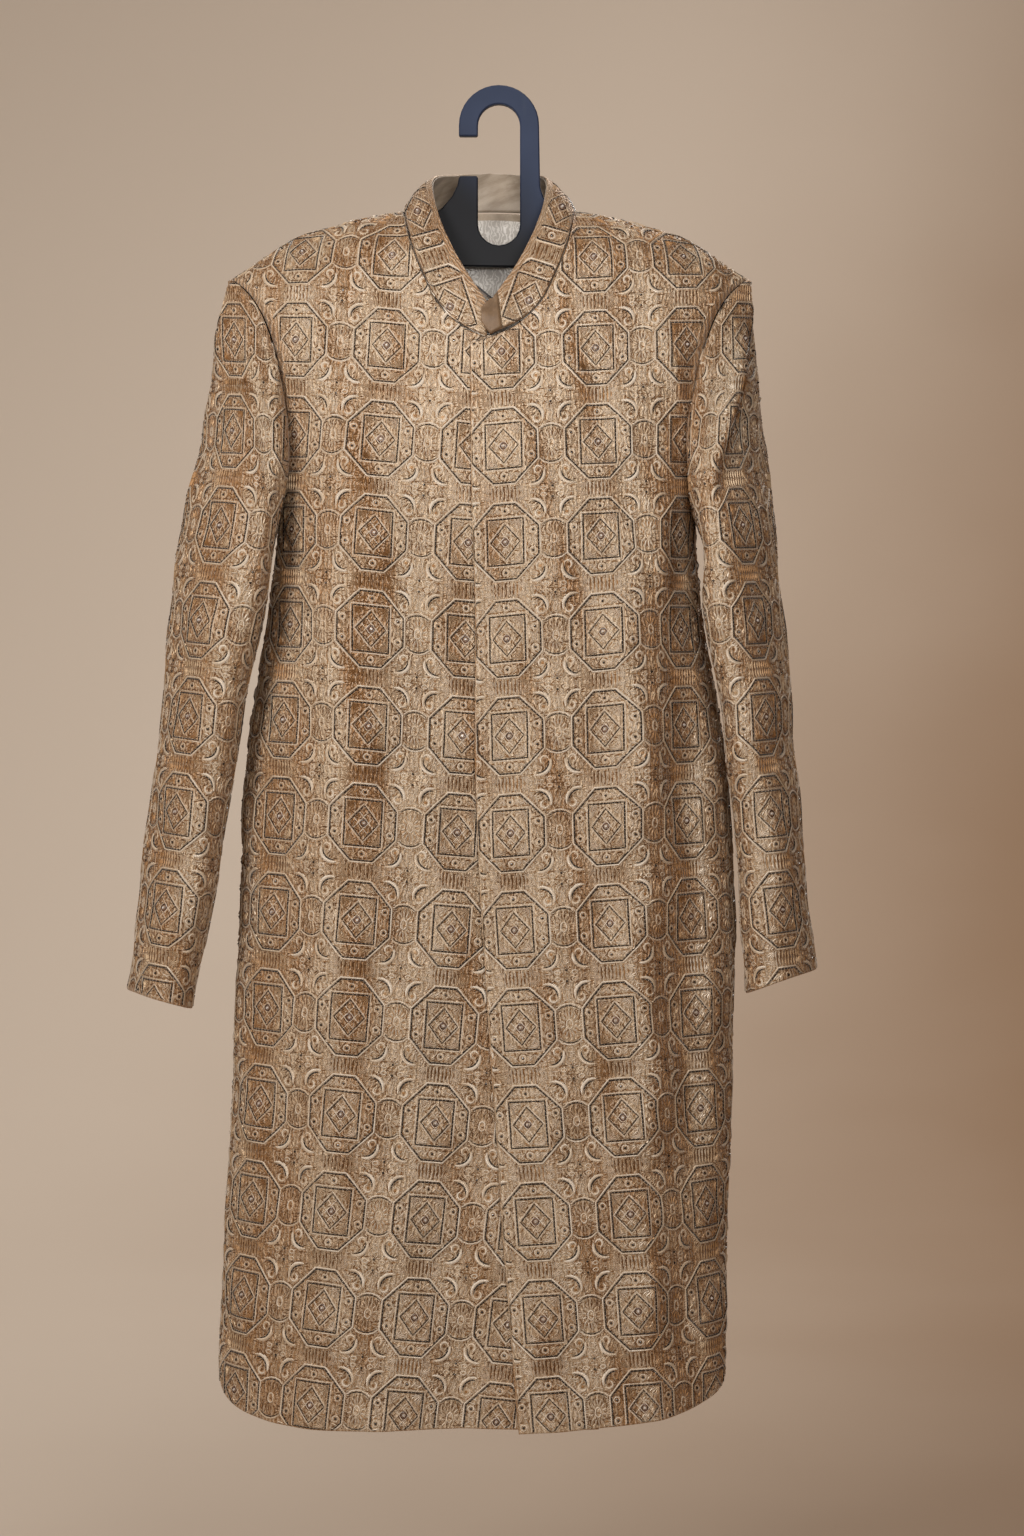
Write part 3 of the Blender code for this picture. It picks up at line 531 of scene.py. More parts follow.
def collar_grid(share, rows):
    """Points and outward normals of the collar band, from its foot to its top edge."""
    hand = np.where(share < 0, -1.0, 1.0)
    out, y, height = (
        read(COLLAR_TOP, COLLAR_COLUMNS, name, "share", np.abs(share)) for name in COLLAR_COLUMNS[1:]
    )
    edge = np.stack([COAT_CENTRE + hand * (out - overrun(share)), y, height], axis=-1)
    seam = neck_seam(share)
    foot = COLLAR_FOOT + OVER_FOOT * ramp(OVER_START, OVER_FULL, share)
    up = (foot + (1 - foot) * np.linspace(0, 1, rows + 1)[:, None])[..., None]
    grid = seam[None] * (1 - up) + edge[None] * up
    along = np.gradient(grid, axis=1)
    rise = np.broadcast_to(edge - seam, grid.shape)
    normals = unit(np.cross(along, rise))
    middle = np.array([COAT_CENTRE, *NECK_MIDDLE])
    normals = normals * np.sign(np.mean(np.sum(normals * (grid - middle), axis=-1)))
    crown = COLLAR_BULGE * 4 * up * (1 - up)
    return grid + normals * crown, normals


# ---------------------------------------------------------------- finer grids
FINE_FRONT = (64, 184)       # columns across and rows down each piece
FINE_BACK = (96, 184)
FINE_SLEEVE_ROWS = 112
FINE_COLLAR_ROWS = 12
FINE_LINING = (56, 36)
BIN = 0.003                  # size of the bins in which a place on the flat cloth is looked up
FAIR = (0.5, 1.9)            # no embroidery where the cloth would be drawn out more than this
HIDDEN_LAP = 0.012           # the under front is embroidered this far under the over front
EDGE_STEPS = (0.0, 0.05, 0.13, 0.24)  # extra grid lines by a free edge, in grid steps
SEAM_FADE = 0.018            # creases die away this near a seam
FORM_COLUMNS = 181           # the form is measured on a grid of this many columns and rows
FORM_ROWS = 230
FORM_HEIGHTS = (-0.055, -1.20)
CHART_MARGIN = 0.06          # places this far past a panel's flat edge are still looked up
SEARCH_TURNS = 12            # steps towards a place on the flat cloth
WIDE_TURNS = 4               # the first of them may be longer

# ---------------------------------------------------------------- the flat pattern
PITCH = (0.0835, 0.0850)     # medallions lie this far apart, across and down
PUFF = 0.0005                # cloth inside a medallion stands out this much
PUFF_HALF = (0.0300, 0.0340)  # half width and half height of the part that stands out
PUFF_CORNER = 0.0430         # how far out its cut corners lie
GRAIN_COLUMNS = ("height", "x")
# the grain line of each panel: where a column of medallions runs, from the top down
GRAIN = {
    "front_left": (
        (-0.060, 0.0000), (-0.233, 0.0025), (-0.404, 0.0065), (-0.573, 0.0105), (-0.659, 0.0118),
        (-0.744, 0.0153), (-0.829, 0.0205), (-0.998, 0.0328), (-1.200, 0.0480),
    ),
    "front_right": (
        (-0.060, -0.0080), (-0.232, -0.0163), (-0.405, -0.0268), (-0.575, -0.0321),
        (-0.918, -0.0567), (-1.200, -0.0870),
    ),
    "back": ((-0.060, COAT_CENTRE), (-1.200, COAT_CENTRE - 0.012)),
    "sleeve_right": (
        (-0.140, -0.2400), (-0.215, -0.2373), (-0.304, -0.2347), (-0.478, -0.2636),
        (-0.740, -0.2960), (-0.860, -0.3110),
    ),
    "sleeve_left": (
        (-0.140, 0.2220), (-0.214, 0.2187), (-0.302, 0.2090), (-0.476, 0.2266),
        (-0.562, 0.2345), (-0.648, 0.2398), (-0.727, 0.2494), (-0.860, 0.2640),
    ),
}
# how much the rows of medallions rise across the panel, towards +X, and the height of one row
ROW_RISE = {"front_left": 0.065, "front_right": -0.085, "back": 0.0}
ROW_HEIGHT = {
    "front_left": -0.2328, "front_right": -0.2320, "back": -0.2400,
    "sleeve_right": -0.2153, "sleeve_left": -0.2144,
}

# ---------------------------------------------------------------- creases
# soft creases placed one by one: panel, a line of (x, height) places, its half widths on the two
# sides of the line, and how far it stands out
CREASES = (
    (
        "front_left",
        (
            (0.160, -0.190), (0.150, -0.290), (0.138, -0.420),
            (0.131, -0.600), (0.134, -0.820), (0.138, -1.170),
        ),
        0.050, 0.015, 0.0064,
    ),
    (
        "front_left",
        ((0.030, -0.330), (0.034, -0.560), (0.044, -0.840), (0.064, -1.150)),
        0.030, 0.040, 0.0030,
    ),
    (
        "front_left",
        ((0.160, -0.300), (0.168, -0.520), (0.170, -0.800), (0.172, -1.100)),
        0.014, 0.014, -0.0035,
    ),
    ("front_left", ((0.176, -0.330), (0.150, -0.365), (0.118, -0.410)), 0.007, 0.010, 0.0014),
    ("front_left", ((0.112, -0.150), (0.132, -0.200), (0.150, -0.262)), 0.012, 0.018, 0.0016),
    ("front_left", ((0.196, -0.640), (0.188, -0.820), (0.180, -1.060)), 0.010, 0.012, 0.0018),
    ("front_right", ((-0.196, -0.300), (-0.176, -0.352), (-0.140, -0.410)), 0.008, 0.012, 0.0016),
    ("front_right", ((-0.150, -0.140), (-0.160, -0.190), (-0.166, -0.250)), 0.014, 0.018, 0.0014),
    (
        "front_right",
        ((-0.205, -0.480), (-0.212, -0.700), (-0.222, -0.960), (-0.226, -1.120)),
        0.012, 0.014, 0.0024,
    ),
    (
        "front_right",
        ((-0.140, -0.105), (-0.140, -0.300), (-0.138, -0.560), (-0.143, -0.780), (-0.149, -1.020)),
        0.034, 0.018, 0.0058,
    ),
    (
        "front_right",
        ((-0.094, -0.140), (-0.090, -0.420), (-0.096, -0.700), (-0.106, -0.980)),
        0.022, 0.030, -0.0042,
    ),
    (
        "front_right",
        ((-0.018, -0.250), (-0.014, -0.560), (-0.004, -0.840), (0.014, -1.190)),
        0.022, 0.030, -0.0040,
    ),
    ("back", ((-0.200, -0.260), (-0.150, -0.330), (-0.110, -0.430)), 0.012, 0.016, 0.0020),
    ("back", ((0.180, -0.250), (0.140, -0.320), (0.100, -0.440)), 0.010, 0.016, 0.0024),
    ("back", ((-0.060, -0.420), (-0.070, -0.760), (-0.075, -1.120)), 0.018, 0.022, 0.0028),
    ("back", ((0.050, -0.500), (0.040, -0.800), (0.046, -1.140)), 0.016, 0.022, 0.0024),
    ("back", ((0.150, -0.520), (0.158, -0.820), (0.150, -1.100)), 0.014, 0.018, 0.0030),
    ("back", ((-0.170, -0.600), (-0.182, -0.860), (-0.186, -1.090)), 0.014, 0.018, 0.0026),
    ("back", ((-0.040, -0.130), (0.000, -0.140), (0.034, -0.128)), 0.010, 0.014, -0.0014),
    (
        "sleeve_left",
        (
            (0.2214, -0.1916), (0.2196, -0.2205), (0.2126, -0.260),
            (0.2038, -0.2889), (0.1942, -0.3196), (0.180, -0.357),
        ),
        0.011, 0.0045, 0.0062,
    ),
    (
        "sleeve_left",
        (
            (0.2300, -0.1980), (0.2262, -0.2300), (0.2196, -0.268),
            (0.2110, -0.3000), (0.2010, -0.332), (0.190, -0.362),
        ),
        0.0045, 0.012, -0.0050,
    ),
    ("sleeve_left", ((0.250, -0.430), (0.228, -0.470), (0.205, -0.492)), 0.008, 0.012, 0.0022),
    ("sleeve_left", ((0.262, -0.560), (0.240, -0.590), (0.214, -0.600)), 0.008, 0.012, -0.0014),
    ("sleeve_left", ((0.240, -0.620), (0.246, -0.700), (0.252, -0.790)), 0.010, 0.012, 0.0018),
    ("sleeve_right", ((-0.226, -0.249), (-0.220, -0.262), (-0.214, -0.276)), 0.006, 0.009, -0.0022),
    ("sleeve_right", ((-0.232, -0.250), (-0.226, -0.264), (-0.220, -0.280)), 0.006, 0.006, 0.0020),
    ("sleeve_right", ((-0.212, -0.215), (-0.206, -0.240), (-0.203, -0.270)), 0.007, 0.007, -0.0026),
    ("sleeve_right", ((-0.290, -0.440), (-0.262, -0.470), (-0.230, -0.480)), 0.009, 0.012, 0.0020),
    ("sleeve_right", ((-0.300, -0.540), (-0.272, -0.560), (-0.246, -0.556)), 0.008, 0.012, -0.0014),
    ("sleeve_right", ((-0.278, -0.600), (-0.290, -0.700), (-0.302, -0.800)), 0.010, 0.012, 0.0016),
)
# low waves over all the cloth: lengths along x and height, turn, and how far they stand out
WAVES = (
    (0.052, 0.240, 1.3, 0.0007),
    (0.083, -0.160, 0.2, 0.0008),
    (0.031, 0.110, 2.6, 0.0004),
    (0.190, 0.070, 4.1, 0.0005),
)


def crease_out(points, line, before, after, out):
    """How far one crease stands out at each point: round across, and fading at its ends."""
    order = np.linspace(0, 1, len(line))
    along = np.linspace(0, 1, 12 * len(line))
    x = smooth(order, [place[0] for place in line], along)
    z = smooth(order, [place[1] for place in line], along)
    east = points[..., 0, None] - x
    up = points[..., 2, None] - z
    far = np.hypot(east, up)
    near = np.argmin(far, axis=-1)
    distance = np.take_along_axis(far, near[..., None], -1)[..., 0]
    slope_x, slope_z = np.gradient(x)[near], np.gradient(z)[near]
    side = np.take_along_axis(east, near[..., None], -1)[..., 0] * slope_z
    side = side - np.take_along_axis(up, near[..., None], -1)[..., 0] * slope_x
    width = np.where(side > 0, before, after)
    fade = np.sin(np.pi * np.clip(along[near], 0.02, 0.98)) ** 0.7
    return out * fade * np.exp(-((distance / width) ** 2))


def relief(panel, points):
    """All of a panel's creases and the low waves of its cloth."""
    out = np.zeros(points.shape[:-1])
    front = points[..., 1] < 0 if panel.startswith("sleeve") else np.ones(out.shape, bool)
    for name, line, before, after, height in CREASES:
        if name == panel:
            out = out + np.where(front, crease_out(points, line, before, after, height), 0)
    for length, rise, turn, height in WAVES:
        out = out + height * np.sin(2 * np.pi * (points[..., 0] / length + points[..., 2] / rise) + turn)
    return out


# ---------------------------------------------------------------- charts
def between(grid, i, j):
    """Values of a grid at fractional rows i and columns j."""
    row = np.clip(np.floor(i).astype(int), 0, grid.shape[0] - 2)
    col = np.clip(np.floor(j).astype(int), 0, grid.shape[1] - 2)
    t = (i - row)[..., None]
    s = (j - col)[..., None]
    top = grid[row, col] * (1 - s) + grid[row, col + 1] * s
    low = grid[row + 1, col] * (1 - s) + grid[row + 1, col + 1] * s
    return top * (1 - t) + low * t


def lengths(points, axis):
    """Running length along one direction of a grid of points."""
    steps = np.linalg.norm(np.diff(points, axis=axis), axis=-1)
    pad = [(0, 0), (0, 0)]
    pad[axis] = (1, 0)
    return np.pad(np.cumsum(steps, axis=axis), pad)


def grid_normals(points):
    """Normals of a grid, all to one side of it. The caller turns them away from the coat."""
    return unit(np.cross(np.gradient(points, axis=1), np.gradient(points, axis=0)))


class Chart:
    """A panel: its points, its outward normals, and where each point lies on the flat cloth."""

    def __init__(self, points, normals, flat, inset=(0, 0, 0, 0), shown=None, fair_range=FAIR, turn=None):
        self.points = points
        self.normals = normals
        self.flat = flat
        rows, columns = points.shape[:2]
        top, foot, first, last = inset
        self.low = np.array([top, first], float)
        self.high = np.array([rows - 1 - foot, columns - 1 - last], float)
        real = np.linalg.norm(np.cross(np.gradient(points, axis=0), np.gradient(points, axis=1)), axis=-1)
        down, across = np.gradient(flat, axis=0), np.gradient(flat, axis=1)
        drawn = np.abs(down[..., 0] * across[..., 1] - down[..., 1] * across[..., 0])
        fair = (drawn > fair_range[0] * real) & (drawn < fair_range[1] * real)
        if shown is not None:
            fair = fair & shown
        self.fair = fair.astype(float)[..., None]
        self.turn = np.zeros((rows, columns)) if turn is None else turn
        self.starts = None

    def nearest(self, wanted):
        """Rows and columns of the grid points that lie nearest on the flat cloth."""
        columns = self.flat.shape[1]
        spots = self.flat.reshape(-1, 2)
        low = spots.min(axis=0) - CHART_MARGIN
        if self.starts is None:
            tree = KDTree(len(spots))
            for index, spot in enumerate(spots.tolist()):
                tree.insert((*spot, 0), index)
            tree.balance()
            size = np.ceil((spots.max(axis=0) + CHART_MARGIN - low) / BIN).astype(int) + 1
            found = []
            for m, n in np.ndindex(*size):
                found.append(tree.find((low[0] + (m + 0.5) * BIN, low[1] + (n + 0.5) * BIN, 0))[1])
            self.starts = np.array(found).reshape(size)
        place = np.floor((wanted - low) / BIN).astype(int)
        place = np.clip(place, 0, np.array(self.starts.shape) - 1)
        index = self.starts[place[:, 0], place[:, 1]]
        return (index // columns).astype(float), (index % columns).astype(float)

    def find(self, wanted):
        """Fractional rows and columns at which the flat cloth's places lie."""
        rows, columns = self.flat.shape[:2]
        i, j = self.nearest(wanted)
        best = np.full(len(wanted), 1.0)
        kept = np.stack([i, j], axis=-1)
        for turn in range(SEARCH_TURNS):
            r = np.clip(np.floor(i).astype(int), 0, rows - 2)
            c = np.clip(np.floor(j).astype(int), 0, columns - 2)
            t, s = (i - r)[:, None], (j - c)[:, None]
            a, b = self.flat[r, c], self.flat[r, c + 1]
            d, e = self.flat[r + 1, c], self.flat[r + 1, c + 1]
            here = (a * (1 - s) + b * s) * (1 - t) + (d * (1 - s) + e * s) * t
            down = (d - a) * (1 - s) + (e - b) * s
            across = (b - a) * (1 - t) + (e - d) * t
            miss = wanted - here
            far = np.linalg.norm(miss, axis=-1)
            better = far < best
            best = np.where(better, far, best)
            kept[better] = np.stack([i, j], axis=-1)[better]
            det = down[:, 0] * across[:, 1] - down[:, 1] * across[:, 0]
            det = np.where(np.abs(det) < 1e-12, 1e-12, det)
            di = (miss[:, 0] * across[:, 1] - miss[:, 1] * across[:, 0]) / det
            dj = (down[:, 0] * miss[:, 1] - down[:, 1] * miss[:, 0]) / det
            step = 1.5 if turn < WIDE_TURNS else 0.6
            i = np.clip(i + np.clip(di, -step, step), -3, rows + 2)
            j = np.clip(j + np.clip(dj, -step, step), -3, columns + 2)
        return kept

    def inside(self, place):
        """Whether each place is on the panel, where its cloth isn't drawn out too far."""
        held = np.all((place >= self.low - 1e-6) & (place <= self.high + 1e-6), axis=-1)
        return held & (between(self.fair, place[:, 0], place[:, 1])[:, 0] > 0.5)

    def raised(self, place, up):
        """Points on the panel, raised by up."""
        held = np.clip(place, self.low, self.high)
        points = between(self.points, held[:, 0], held[:, 1])
        return points + between(self.normals, held[:, 0], held[:, 1]) * up[:, None]


# ---------------------------------------------------------------- panels as charts
def refined(values, row_steps, column_steps):
    """A grid of values read at fractional rows and columns."""
    i, j = np.meshgrid(row_steps, column_steps, indexing="ij")
    return between(values[..., None], i, j)[..., 0]


def steps(count, near_first, near_last):
    """Whole grid steps, with extra ones by the free edges."""
    inner = list(range(1, count))
    first = EDGE_STEPS if near_first else (0.0,)
    last = [count - step for step in reversed(EDGE_STEPS if near_last else (0.0,))]
    return np.array(list(first) + inner + last, float)


def body_flat(panel, side, angle, height):
    """Places on the flat cloth of points of the body: across from the grain line, and down."""
    angles = np.linspace(-math.pi / 2, math.pi / 2, FORM_COLUMNS)
    heights = np.linspace(*FORM_HEIGHTS, FORM_ROWS)
    form = body_point(side, angles[None, :], heights[:, None])
    level = form.copy()
    level[..., 2] = 0
    across = lengths(level, 1)
    upright = form.copy()
    upright[..., 0] = 0
    down = lengths(upright, 0)
    grain_angle = angle_at(grain_x(panel, heights), heights)
    start = np.array([np.interp(a, angles, row) for a, row in zip(grain_angle, across)])
    zero = np.array([np.interp(-ROW_HEIGHT[panel], -heights, line) for line in down.T])
    tables = np.stack([across - start[:, None], down - zero[None, :]], axis=-1)
    i = (height - heights[0]) / (heights[-1] - heights[0]) * (len(heights) - 1)
    j = (angle - angles[0]) / (angles[-1] - angles[0]) * (len(angles) - 1)
    flat = between(tables, i, j)
    if side == "back":
        flat[..., 0] = -flat[..., 0]
    flat[..., 1] += ROW_RISE[panel] * flat[..., 0]
    return flat


def medallion_puff(flat):
    """Rises inside each medallion and falls between them."""
    x = (flat[..., 0] / PITCH[0] + 0.5) % 1 - 0.5
    y = (flat[..., 1] / PITCH[1] + 0.5) % 1 - 0.5
    x, y = np.abs(x) * PITCH[0], np.abs(y) * PITCH[1]
    out = np.maximum(np.maximum(x - PUFF_HALF[0], y - PUFF_HALF[1]), (x + 0.95 * y - PUFF_CORNER) * 0.72)
    return PUFF * (1 - ramp(-0.006, 0.004, out))


def seam_fade(points, seams):
    """0 at the seams, each given as a line of points, and 1 away from them."""
    away = np.full(points.shape[:2], 1.0)
    for line in seams:
        for part in np.array_split(line, max(1, len(line) // 40)):
            gap = np.linalg.norm(points[:, :, None] - part[None, None], axis=-1)
            away = np.minimum(away, gap.min(axis=-1))
    return ramp(0, SEAM_FADE, away)


def settle(panel, points, normals, flat, fade):
    """A panel's points with its creases, waves and puffs, their new normals, and how far
    each point has turned towards +X, away from the key light: the materials paint shade by it."""
    out = (relief(panel, points) + medallion_puff(flat)) * fade
    moved = points + normals * out[..., None]
    again = grid_normals(moved)
    again = again * np.sign(np.sum(again * normals, axis=-1, keepdims=True))
    blend = fade[..., None]
    again = unit(again * blend + normals * (1 - blend))
    return moved, again, (again - normals)[..., 0]


def body_sheet(panel, side, filled, row_steps, column_steps):
    """Heights, points, normals and flat places of a panel of the body, on its finer grid."""
    angle, height = (refined(values, row_steps, column_steps) for values in filled)
    points = body_point(side, angle, height)
    return height, points, body_normal(side, angle, height), body_flat(panel, side, angle, height)


def front_chart(panel, hand):
    """A front, from its own edge to its side: the over front when hand is 1."""
    columns, rows = FINE_FRONT
    height, points, normals, flat = body_sheet(
        panel, "front", front_patch(hand, columns, rows),
        steps(rows, False, True), steps(columns, True, False),
    )
    edge = over_edge_x(height)
    if hand > 0:
        past = points[..., 0] - edge - LAP_WIDTH
        lift = LAP_LIFT * (1 - ramp(0, LAP_FADE, past)) * ramp(-NECK_HEIGHT, -LAP_FULL, -height)
        points = points + normals * lift[..., None]
    fade = seam_fade(points, [points[0], points[:, -1], points[:NECK_ROWS + 1, 0]])
    shown = None if hand > 0 else points[..., 0] < edge + HIDDEN_LAP
    moved, normals, turn = settle(panel, points, normals, flat, fade)
    return Chart(moved, normals, flat, inset=(0, 3, 3 if hand > 0 else 0, 1), shown=shown, turn=turn)


def back_chart():
    """The back, from its left side to its right."""
    columns, rows = FINE_BACK
    _, points, normals, flat = body_sheet(
        "back", "back", back_patch(columns, rows),
        steps(rows, False, True), steps(columns, False, False),
    )
    fade = seam_fade(points, [points[0], points[:, 0], points[:, -1]])
    moved, normals, turn = settle("back", points, normals, flat, fade)
    return Chart(moved, normals, flat, inset=(0, 3, 1, 1), turn=turn)


def sleeve_chart(panel, table, hand):
    """A sleeve as one sheet, cut along the back of its tube."""
    count = 2 * ARMHOLE_ROWS
    rings = sleeve_rings(table, hand, count, FINE_SLEEVE_ROWS)
    normals = ring_normals(rings)
    normals[0, :, 0] = hand * np.minimum(hand * normals[0, :, 0], 0)
    order = (np.arange(count + 1) - count // 4) % count
    row_steps = steps(FINE_SLEEVE_ROWS, False, True)
    whole = np.arange(count + 1, dtype=float)
    i, j = np.meshgrid(row_steps, whole, indexing="ij")
    points = between(rings[:, order], i, j)
    normals = unit(between(unit(normals)[:, order], i, j))
    (upper_z, upper_x), (lower_z, lower_x) = GRAIN[panel][2], GRAIN[panel][-1]
    axis = unit(np.array([lower_x - upper_x, 0, lower_z - upper_z]))
    seen = points - np.sum(points * axis, axis=-1, keepdims=True) * axis
    across = lengths(seen, 1)
    past = hand * (grain_x(panel, points[..., 2]) - points[..., 0])
    front = slice(count // 4, 3 * count // 4)
    start = np.array([np.interp(0, ahead[front], run[front]) for ahead, run in zip(past, across)])
    zero = np.array([grain_x(panel, ROW_HEIGHT[panel]), 0, ROW_HEIGHT[panel]])
    down = np.sum((points - zero) * axis, axis=-1)
    flat = np.stack([-hand * (across - start[:, None]), down], axis=-1)
    fade = seam_fade(points, [points[0]])
    cut = np.minimum(np.arange(count + 1), np.arange(count + 1)[::-1]) / 3.0
    fade = fade * np.clip(cut, 0, 1)[None, :]
    moved, normals, turn = settle(panel, points, normals, flat, fade)
    return Chart(moved, normals, flat, inset=(0, 3, 0, 0), turn=turn)


# x and height of the middles of two medallions on each side of the collar
COLLAR_MEDALLIONS = {
    -1: ((-0.0729, -0.1008), (-0.0432, -0.1909)),
    1: ((0.0567, -0.0965), (0.0268, -0.1850)),
}
COLLAR_PIPING = 0.0033       # plain strip along the collar's top edge
COLLAR_FAIR = (0.15, 3.0)    # the collar's pattern may be drawn out more than the panels'
COLLAR_CUT = 0.060           # the over end's corners are cut back by this share
COLLAR_END_COLUMNS = 8
COLLAR_RUN_ROW = 3           # the grid row along which the collar's pattern is laid out
TAB_FOOT = 0.944             # the tab begins at this share at the collar's foot
TAB_TOP = 0.970              # and at this one at its top
TAB_COLUMNS = 16
TAB_WAVE = (0.0004, 0.0042)  # height of the tab's wrinkles, and their length over 2 pi
COLLAR_SHOWN = 0.975         # the embroidery stops at this share on both sides
COLLAR_WAVE = (0.0006, 0.011)  # the same two sizes of the band's own low waves
LINING_PULL = (0.0012, 0.0031)  # and of the pulls in the collar's lining


def collar_end(rise):
    """Share at which the over end of the band stops: its two corners are cut."""
    low = np.clip(1 - rise / 0.33, 0, 1)
    high = np.clip((rise - 0.72) / 0.28, 0, 1)
    return COLLAR_END - COLLAR_CUT * np.maximum(low, high)


def collar_chart():
    """The collar's band: across from its foot, and along from the middle of the back."""
    front = np.linspace(COLLAR_SIDE_SHARE, 1, NECK_ROWS + 1)
    back = np.linspace(-COLLAR_SIDE_SHARE, COLLAR_SIDE_SHARE, COLLAR_BACK_COLUMNS + 1)
    past = np.linspace(1, COLLAR_END, COLLAR_END_COLUMNS + 1)[1:]
    share = np.concatenate([-front[:0:-1], back, front[1:], past])
    points, normals = collar_grid(share, FINE_COLLAR_ROWS)
    row_steps = steps(FINE_COLLAR_ROWS, False, True)
    whole = np.arange(len(share), dtype=float)
    i, j = np.meshgrid(row_steps, whole, indexing="ij")
    last = len(share) - 1 - COLLAR_END_COLUMNS
    cut = (collar_end(i / FINE_COLLAR_ROWS) - 1) / (COLLAR_END - 1)
    j = np.where(j > last, last + (j - last) * cut, j)
    points = between(points, i, j)
    normals = unit(between(normals, i, j))
    share = np.interp(j, whole, share)
    lap = LAP_LIFT * ramp(LAP_START, OVER_FULL, share)
    across = lengths(points, 0)
    high, length = COLLAR_WAVE
    wave = high * np.sin(lengths(points, 1) / length) * np.sin(np.pi * across / across[-1]) ** 2
    seen = points * (1, 0, 1)
    aside = np.abs(share) < COLLAR_SIDE_SHARE
    run = lengths(np.where(aside[..., None], points, seen), 1)
    middle = np.argmin(np.abs(share[0]))
    run = (run - run[:, middle, None])[COLLAR_RUN_ROW]
    band = points + normals * (COLLAR_LIFT + lap + wave)[..., None]
    run = np.broadcast_to(run, across.shape)
    chart = Chart(band, normals, np.stack([across, run], axis=-1))
    chart.share = share[0]
    return chart


def collar_half(chart, hand):
    """One side of the collar, from the middle of the back to the front, for its embroidery.

    In front the pattern lies as it is seen; round the back it follows the band's own length.
    """
    share = chart.share * hand
    columns = np.flatnonzero((share >= 0) & (share <= COLLAR_SHOWN))
    columns = columns[np.argsort(share[columns])]
    points = chart.points[:, columns]
    high, low = (np.array((x, 0, z)) for x, z in COLLAR_MEDALLIONS[hand])
    length = np.linalg.norm(low - high)
    down = (low - high) / length
    aside = np.array((-down[2], 0, down[0]))
    seen = (points - high) * PITCH[1] / length
    flat = np.stack([seen @ aside, seen @ down], axis=-1)
    side = np.argmin(np.abs(share[columns] - COLLAR_SIDE_SHARE))
    run = lengths(points, 1)
    flat[:, :side, 0] = flat[:, side, None, 0]
    flat[:, :side, 1] = flat[:, side, None, 1] - (run[:, side, None] - run[:, :side])
    rise = lengths(points, 0)[:, 0]
    plain = int(np.sum(rise > rise[-1] - COLLAR_PIPING))
    turned_over = [grid.swapaxes(0, 1) for grid in (points, chart.normals[:, columns], flat)]
    return Chart(*turned_over, inset=(0, 0, 0, plain), fair_range=COLLAR_FAIR)


# ---------------------------------------------------------------- walls
def wall_object(name, chart, thickness, materials, free):
    """A closed wall of a chart's points, with its free edges rounded, and its flat places as UVs."""
    points, normals = chart.points, chart.normals
    rows, columns = points.shape[:2]
    away = np.full((rows, columns), 1.0)
    runs = {"top": (0, 0), "foot": (0, -1), "first": (1, 0), "last": (1, -1)}
    for edge in free:
        axis, end = runs[edge]
        run = lengths(points, axis)
        far = run if end == 0 else np.take(run, [-1], axis=axis) - run
        away = np.minimum(away, far)
    radius = thickness / 2
    short = np.clip(radius - away, 0, radius)
    drop = np.minimum(radius - np.sqrt(radius ** 2 - short ** 2), 0.8 * radius)
    outside = points - normals * drop[..., None]
    inside = points - normals * (thickness - drop)[..., None]
    corners = np.concatenate([outside.reshape(-1, 3), inside.reshape(-1, 3)])
    place = np.arange(rows * columns).reshape(rows, columns)
    a, b, c, d = place[:-1, :-1], place[1:, :-1], place[1:, 1:], place[:-1, 1:]
    front = np.stack([a, b, c, d], axis=-1).reshape(-1, 4)
    shift = rows * columns
    borders = [place[0, :], place[-1, ::-1], place[::-1, 0], place[:, -1]]
    rims = []
    for line in borders:
        rims.append(np.stack([line[:-1], line[1:], line[1:] + shift, line[:-1] + shift], axis=-1))
    faces = np.concatenate([front, front[:, ::-1] + shift] + rims)
    one, two, three = (corners[front[:, k]] for k in range(3))
    facing = np.cross(two - one, three - one)
    if np.sum(facing * normals.reshape(-1, 3)[front[:, 0]]) < 0:
        faces = faces[:, ::-1]
    flat = chart.flat.reshape(-1, 2) / PITCH * (1, -1)
    flat = np.concatenate([flat, flat])
    slots = np.zeros(len(faces), int)
    slots[len(front):2 * len(front)] = 1
    turn = np.tile(chart.turn.ravel(), 2)
    return mesh_object(name, corners, faces, materials, slots, flat, turn=turn)


